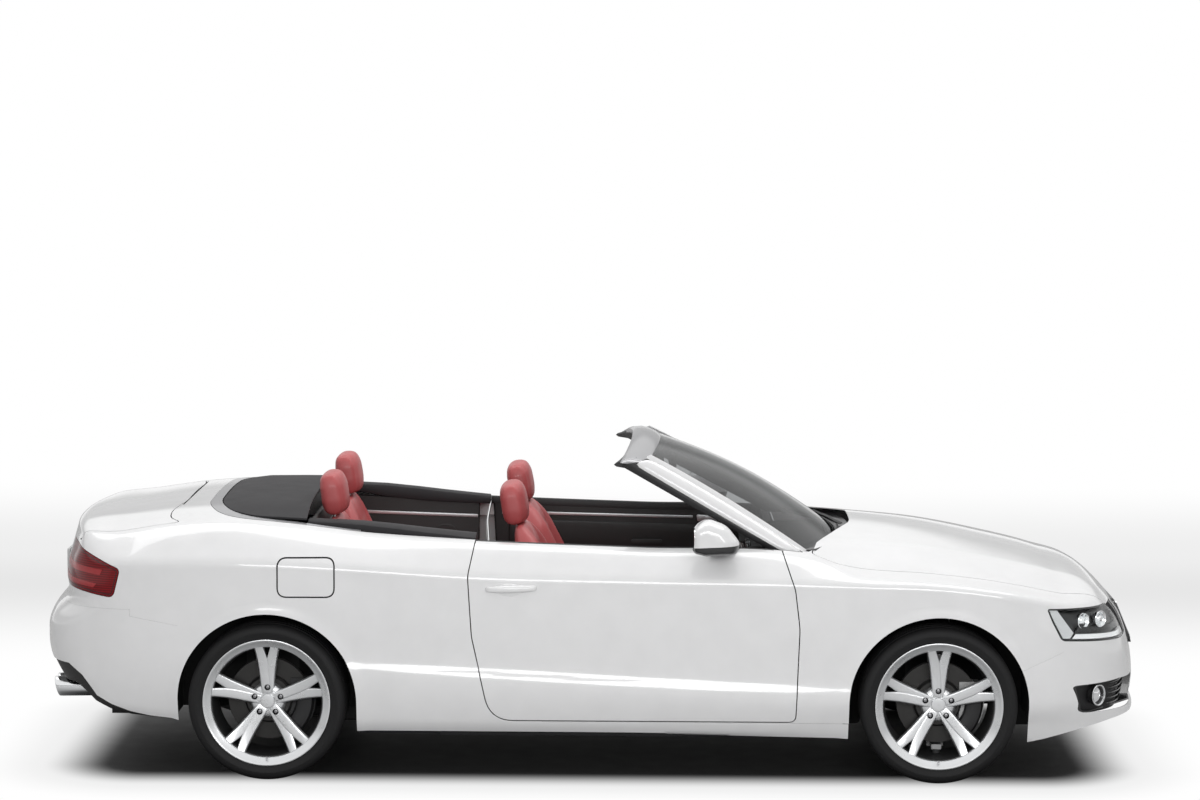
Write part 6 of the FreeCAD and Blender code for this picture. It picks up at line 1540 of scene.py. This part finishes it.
# ---------------------------------------------------------------------------
# Dashboard: a soft black moulding across the car with a hooded instrument binnacle,
# air vents, a centre stack, a glove box and the console on the tunnel.
dash = plate("dashboard_shell", rounded([(1.0, 0.66, 0), (0.76, 0.615, 0.04), (0.68, 0.64, 0.04),
            (0.655, 0.72, 0.03), (0.675, 0.835, 0.04), (0.79, 0.886, 0.05), (1.0, 0.896, 0)], 7), "y",
    -0.636, 0.636, 0.012)
hood_rows = []
for t in np.linspace(-1, 1, 25):
    fade = max(0.0, 1 - abs(t) ** 3.2)
    hood_rows.append([(x, 0.37 + 0.19 * t, z) for x, z in ((0.8, 0.872), (0.668, 0.842),
                (0.64, 0.846 + 0.03 * fade), (0.632, 0.85 + 0.06 * fade), (0.645, 0.852 + 0.068 * fade),
                (0.7, 0.862 + 0.06 * fade), (0.78, 0.872 + 0.03 * fade))])
binnacle = eased(lofted("binnacle", hood_rows), 0.005, 2, 45)
well = plate("binnacle_face", rounded([(0.205, 0.79, 0.03), (0.535, 0.79, 0.03), (0.515, 0.872, 0.05),
            (0.225, 0.872, 0.05)], 6), "x", 0.652, 0.672, 0.004)
glove = plate("glove_box", rounded([(-0.585, 0.665, 0.02), (-0.215, 0.665, 0.02), (-0.215, 0.745, 0.02),
            (-0.585, 0.755, 0.02)], 5), "x", 0.652, 0.7, 0.006)
stack = plate("centre_stack", rounded([(0.715, 0.4, 0.05), (0.59, 0.42, 0.05), (0.65, 0.72, 0.02),
            (0.665, 0.87, 0.02), (0.74, 0.88, 0)], 5), "y", -0.125, 0.125, 0.01)
tunnel = plate("console", rounded([(0.7, 0.23, 0), (-0.33, 0.23, 0.03), (-0.34, 0.47, 0.04),
            (0.02, 0.48, 0.03), (0.07, 0.4, 0.05), (0.4, 0.41, 0.08), (0.62, 0.47, 0.05), (0.7, 0.5, 0)],
        5), "y", -0.11, 0.11, 0.014)
for piece, takes in ((together([dash, binnacle, glove], "dashboard_shell"), ["dashboard"]),
        (together([stack, tunnel], "console"), ())):
    done(piece, trim_dark, takes, angle=45)
done(well, gloss_black, angle=45)
DIAL_Z, TICK_R = 0.832, 0.03  # middle of the dials, and how far out their ticks are
dials, needles = [], []
for y in (0.285, 0.455):
    dial = turned("dial", [(0.044, 0.0), (0.047, -0.004), (0.05, -0.003), (0.05, 0.004), (0.044, 0.004)],
        60)
    dial.data.transform(Matrix.Scale(0.78, 4))
    put(dial, (0.6515, y, DIAL_Z), -90)
    dials.append(dial)
    for k in range(11):
        a = math.radians(225 - 27 * k)
        spot = (0.6508, y - TICK_R * math.cos(a), DIAL_Z + TICK_R * math.sin(a))
        dials.append(tilted_block(spot, a, "X", (0.0015, 0.006, 0.0012)))
    needles.append(tilted_block((0.6498, y, DIAL_Z), math.radians(-38), "X", (0.0012, 0.0018, 0.03), 0.011))
done(together(dials, "dial_rings"), satin, angle=45)
done(together(needles, "dial_needles"), tail_bright, angle=45)
VENT_Z = 0.8
frames, slats = [], []


def oblong(y, z, half_y, half_z, radius=0.0):
    """A rectangle about a middle; rounded() turns its corners on their radius."""
    corners = [(y - half_y, z - half_z), (y + half_y, z - half_z), (y + half_y, z + half_z),
        (y - half_y, z + half_z)]
    return rounded([(*corner, radius) for corner in corners], 4) if radius else corners


for y, width in ((-0.56, 0.1), (-0.068, 0.092), (0.068, 0.092), (0.588, 0.07)):
    opening = plate("vent", oblong(y, VENT_Z, width / 2, 0.032, 0.01), "x", 0.65, 0.668, 0.002)
    shaped(opening, cutter(oblong(y, VENT_Z, width / 2 - 0.005, 0.027, 0.008), "x", 0.64, 0.68))
    frames.append(opening)
    for drop in (-0.018, -0.006, 0.006, 0.018):
        slat_line = oblong(y, VENT_Z + drop, width / 2 - 0.004, 0.0012)
        slats.append(plate("slat", slat_line, "x", 0.653, 0.667, 0.0005, 1))
done(together(frames, "vent_frames"), satin, angle=45)
done(together(slats, "vent_slats"), trim_dark, angle=45)
display = plate("centre_display", rounded([(-0.095, 0.838, 0.008), (0.095, 0.838, 0.008),
            (0.09, 0.884, 0.008), (-0.09, 0.884, 0.008)], 4), "x", 0.653, 0.675, 0.003)
keys = [display]
for row in range(3):
    for column in range(6):
        y, z = -0.075 + 0.03 * column, 0.645 + 0.034 * row
        keys.append(plate("key", oblong(y, z, 0.012, 0.01), "x", 0.618 + 0.006 * row,
                0.64 + 0.006 * row, 0.002, 1))
done(together(keys, "centre_controls"), gloss_black, angle=45)
knobs = []
for x, y, z, radius, tall in ((0.555, 0.0, 0.47, 0.026, 0.02), (0.16, 0.0, 0.415, 0.03, 0.012)):
    knob = turned("knob", [(0.0004, 0.0), (radius * 0.9, 0.0), (radius, 0.003), (radius, tall),
            (0.0004, tall)], 48)
    put(knob, (x, y, z), -90, "X")
    knobs.append(knob)
around = np.radians(np.arange(0, 360, 20))
lever_rows = ( (0.41, 0.045, 0.0), (0.425, 0.038, 0.0), (0.47, 0.014, -0.004), (0.52, 0.009, -0.01),
    (0.535, 0.02, -0.012), (0.56, 0.026, -0.014), (0.58, 0.022, -0.015), (0.588, 0.008, -0.015))
lever = lofted("lever", [[(0.33 + lean + r * math.cos(a), r * math.sin(a) * 0.9, z) for a in around] for z,
        r, lean in lever_rows])
done(together(knobs, "console_knobs"), satin, angle=45)
done(lever, trim_dark, angle=60)
pedals = []
for y, low in ((0.48, 0.36), (0.37, 0.37)):
    pad_line = rounded([(0.842, low, 0.004), (0.85, low - 0.004, 0.004), (0.885, low + 0.085, 0.004),
            (0.877, low + 0.09, 0.004)], 3)
    pedals.append(plate("pedal", pad_line, "y", y - 0.032, y + 0.032, 0.002, 1))
    arm_line = [(0.872, low + 0.06), (0.884, low + 0.06), (0.935, 0.63), (0.923, 0.63)]
    pedals.append(plate("pedal_arm", arm_line, "y", y - 0.008, y + 0.008, 0.001, 1))
done(together(pedals, "pedals"), steel, angle=45)

# Steering wheel: a moulded black rim on three spokes with a centre pad and bright edges.
# It turns on the column, whose stub and two stalks stay with the dashboard.
wheel_turn = Vector((0, 1, 0)).rotation_difference(Vector((0.92718, 0, -0.37461))).to_matrix().to_4x4()
wheel_spot = Matrix.Translation((0.5346, 0.37, 0.8157)) @ wheel_turn
hoop = turned("steering_rim", [(0.171 + 0.0145 * math.cos(a), 0.0145 * math.sin(a))
        for a in np.radians(np.arange(0, 360, 20))], 96)
hub_pad = turned("steering_pad", [(0.0004, -0.022), (0.045, -0.02), (0.062, -0.01), (0.066, 0.006),
        (0.05, 0.02), (0.0004, 0.022)], 64)
parts_list, trims = [hoop, hub_pad], []
spoke_widths = ((0.04, 0.034), (0.075, 0.026), (0.12, 0.019), (0.165, 0.022))
trim_widths = ((0.06, 0.011), (0.1, 0.008), (0.15, 0.008))
for angle in (0, 180, 90):
    spoke = lofted("wheel_spoke", [[(r, y, w) for y, w in ((-0.01, -wide), (-0.013, 0), (-0.01, wide),
                (0.004, wide * 0.9), (0.004, -wide * 0.9))] for r, wide in spoke_widths])
    edge = lofted("spoke_trim", [[(r, y, w) for y, w in ((-0.0135, -wide), (-0.0155, 0), (-0.0135, wide),
                (-0.008, 0))] for r, wide in trim_widths])
    for piece, group in ((spoke, parts_list), (edge, trims)):
        piece.data.transform(Matrix.Rotation(math.radians(angle), 4, "Y"))
        group.append(piece)
column_stub = turned("column_stub", [(0.0004, 0.016), (0.034, 0.016), (0.04, 0.06), (0.0004, 0.098)], 40)
steering = together(parts_list, "steering_wheel_skin")
trim_set = together(trims, "steering_trims")
for piece, finish, body, takes in ((steering, trim_dark, "steering_wheel", ["steering_wheel"]),
        (trim_set, satin, "steering_wheel", ()), (column_stub, trim_dark, "chassis", ())):
    piece.data.transform(wheel_spot)
    if piece is not trim_set:
        put_right(piece)
    done(piece, finish, takes, body, angle=45)
stalks = []
stalk_rows = ((0.0, 0.007), (0.55, 0.007), (0.6, 0.01), (0.97, 0.011), (1.0, 0.006))
ring_at = np.radians(np.arange(0, 360, 30))
for side in (1, -1):
    sections = []
    for t, r in stalk_rows:
        x, y, z = 0.59 - 0.01 * t, 0.37 + side * (0.03 + 0.105 * t), 0.8 + 0.012 * t
        sections.append([(x + r * math.cos(a), y, z + r * math.sin(a)) for a in ring_at])
    stalks.append(lofted("stalk", sections))
done(together(stalks, "column_stalks"), trim_dark, angle=60)

# Carpets and sill treads laid on the cabin's floor, flat sun visors under the header, and
# the black plastic cowl under the screen with its two wipers.
carpet = plain_material("carpet", (0.016, 0.016, 0.017), 0.95, grain=0.8, grain_size=1500, depth=0.001)
side_mat = rounded([(0.96, -0.115, 0), (0.96, -0.7, 0.03), (-0.46, -0.7, 0.02), (-0.46, -0.115, 0)], 4)
back_mat = rounded([(-0.44, -0.6, 0.02), (-0.56, -0.6, 0.02), (-0.56, 0.6, 0.02), (-0.44, 0.6, 0.02)], 4)
front_mat = [(1.0, 0.2), (1.01, 0.65), (0.98, 0.65), (0.9, 0.33), (0.78, 0.205)]
mat_rows = [plate("carpet_right", side_mat, "z", 0.19, 0.206, 0.004)]
mat_rows.append(plate("carpet_back", back_mat, "z", 0.19, 0.215, 0.004))
mat_rows.append(plate("carpet_front", front_mat, "y", -0.64, 0.64, 0.004))
mat_rows.append(plate("sill_tread", [(-0.835, 0.18), (-0.835, 0.246), (-0.78, 0.252), (-0.7, 0.24),
            (-0.69, 0.18)], "x", -0.62, 1.0, 0.004, 2))
mat_rows.append(mirrored(mat_rows[0], "carpet_left"))
mat_rows.append(mirrored(mat_rows[3], "sill_tread"))
done(together(mat_rows, "carpets"), carpet, angle=45)
visors = []
for y in (-0.32, 0.32):
    visor_line = rounded([(y - 0.18, -0.064, 0.02), (y + 0.18, -0.064, 0.02), (y + 0.18, 0.0, 0.015),
            (y - 0.18, 0.0, 0.015)], 5)
    visors.append(put(plate("visor", visor_line, "x", -0.006, 0.006, 0.004), (0.245, 0, 1.3), -52, "Y"))
done(together(visors, "sun_visors"), trim_dark, angle=45)
cowl_rows = []
for y in np.linspace(-0.7, 0.7, 41):
    drop = (y / 0.71) ** 2
    front, back_x = 1.098 - 0.178 * abs(y / 0.71) ** 2.2, 1.045 - 0.2 * drop
    cowl_rows.append([(front, y, 0.93 + 0.02 * (1 - drop)), (front - 0.004, y, 0.94 + 0.022 * (1 - drop)),
            (back_x + 0.01, y, 0.934 + 0.008 * (1 - drop)), (back_x, y, 0.921), (front - 0.02, y, 0.91)])
cowl_top = lofted("cowl_skin", cowl_rows)
done(cowl_top, gloss_black, ["cowl_panel"], angle=45)
wipers = []
for start, end in (((1.075, 0.05), (0.955, 0.6)), ((1.045, -0.46), (1.052, 0.02))):
    for t0, t1, wide, lift in ((0.0, 0.55, 0.008, 0.014), (0.1, 1.0, 0.005, 0.006)):
        rows = []
        for t in np.linspace(t0, t1, 12):
            x, y = start[0] + (end[0] - start[0]) * t, start[1] + (end[1] - start[1]) * t
            half_y = min(1.0, abs(y) / 0.708)
            z = 0.926 + (1.062 - 0.2 * half_y ** 2 - x) * 0.52 + 0.01 + lift
            z = max(z, 0.95)
            rows.append([(x - wide, y, z), (x, y, z + 0.006), (x + wide, y, z), (x, y, z - 0.006)])
        wipers.append(lofted("wiper", rows))
done(together(wipers, "wipers"), seal_black, angle=45)

# ---------------------------------------------------------------------------
# Under the body: what carries the car keeps its plain pressed, cast and turned parts,
# each in its own shop finish.
under_coat = plain_material("under_coat", (0.035, 0.035, 0.036), 0.8, grain=0.4, grain_size=500,
    depth=0.0006)
cast_alloy = plain_material("cast_alloy", (0.36, 0.36, 0.36), 0.5, 0.8, grain=0.5, grain_size=700,
    depth=0.0004)
liner_plastic = plain_material("liner_plastic", (0.008, 0.008, 0.008), 0.9, grain=0.3, grain_size=600,
    depth=0.0006)
cool_fins = plain_material("cooler_fins", (0.1, 0.1, 0.105), 0.5, 0.7)
for name, finish in (("arch_liners", liner_plastic), ("engine_block", cast_alloy), ("exhaust", under_coat),
        ("floor_pan", under_coat), ("front_frame", under_coat), ("front_knuckle_left", cast_alloy),
        ("front_knuckle_right", cast_alloy), ("front_struts", under_coat), ("front_subframe", under_coat),
        ("luggage_tub", under_coat), ("radiator", cool_fins), ("rear_subframe", under_coat)):
    node = nodes[name]
    node.data.materials.clear()
    node.data.materials.append(finish)

# ---------------------------------------------------------------------------
# Splash shields: black plastic sheets screwed in before and behind each front wheel, to
# close the engine bay at its sides.
shields = []
for low_x, high_x in ((0.95, 1.13), (1.7, 1.86)):
    sheet_line = rounded([(low_x, 0.165, 0.02), (high_x, 0.165, 0.02), (high_x, 0.46, 0.02),
            (low_x, 0.46, 0.02)], 4)
    shields.append(plate("shield", sheet_line, "y", -0.455, -0.448, 0.002, 1))
shield = together(shields, "splash_shield_right")
both_done(shield, liner_plastic, angle=40)

for spare in (side_sheet, hood_sheet, lid_sheet):
    bpy.data.objects.remove(spare)
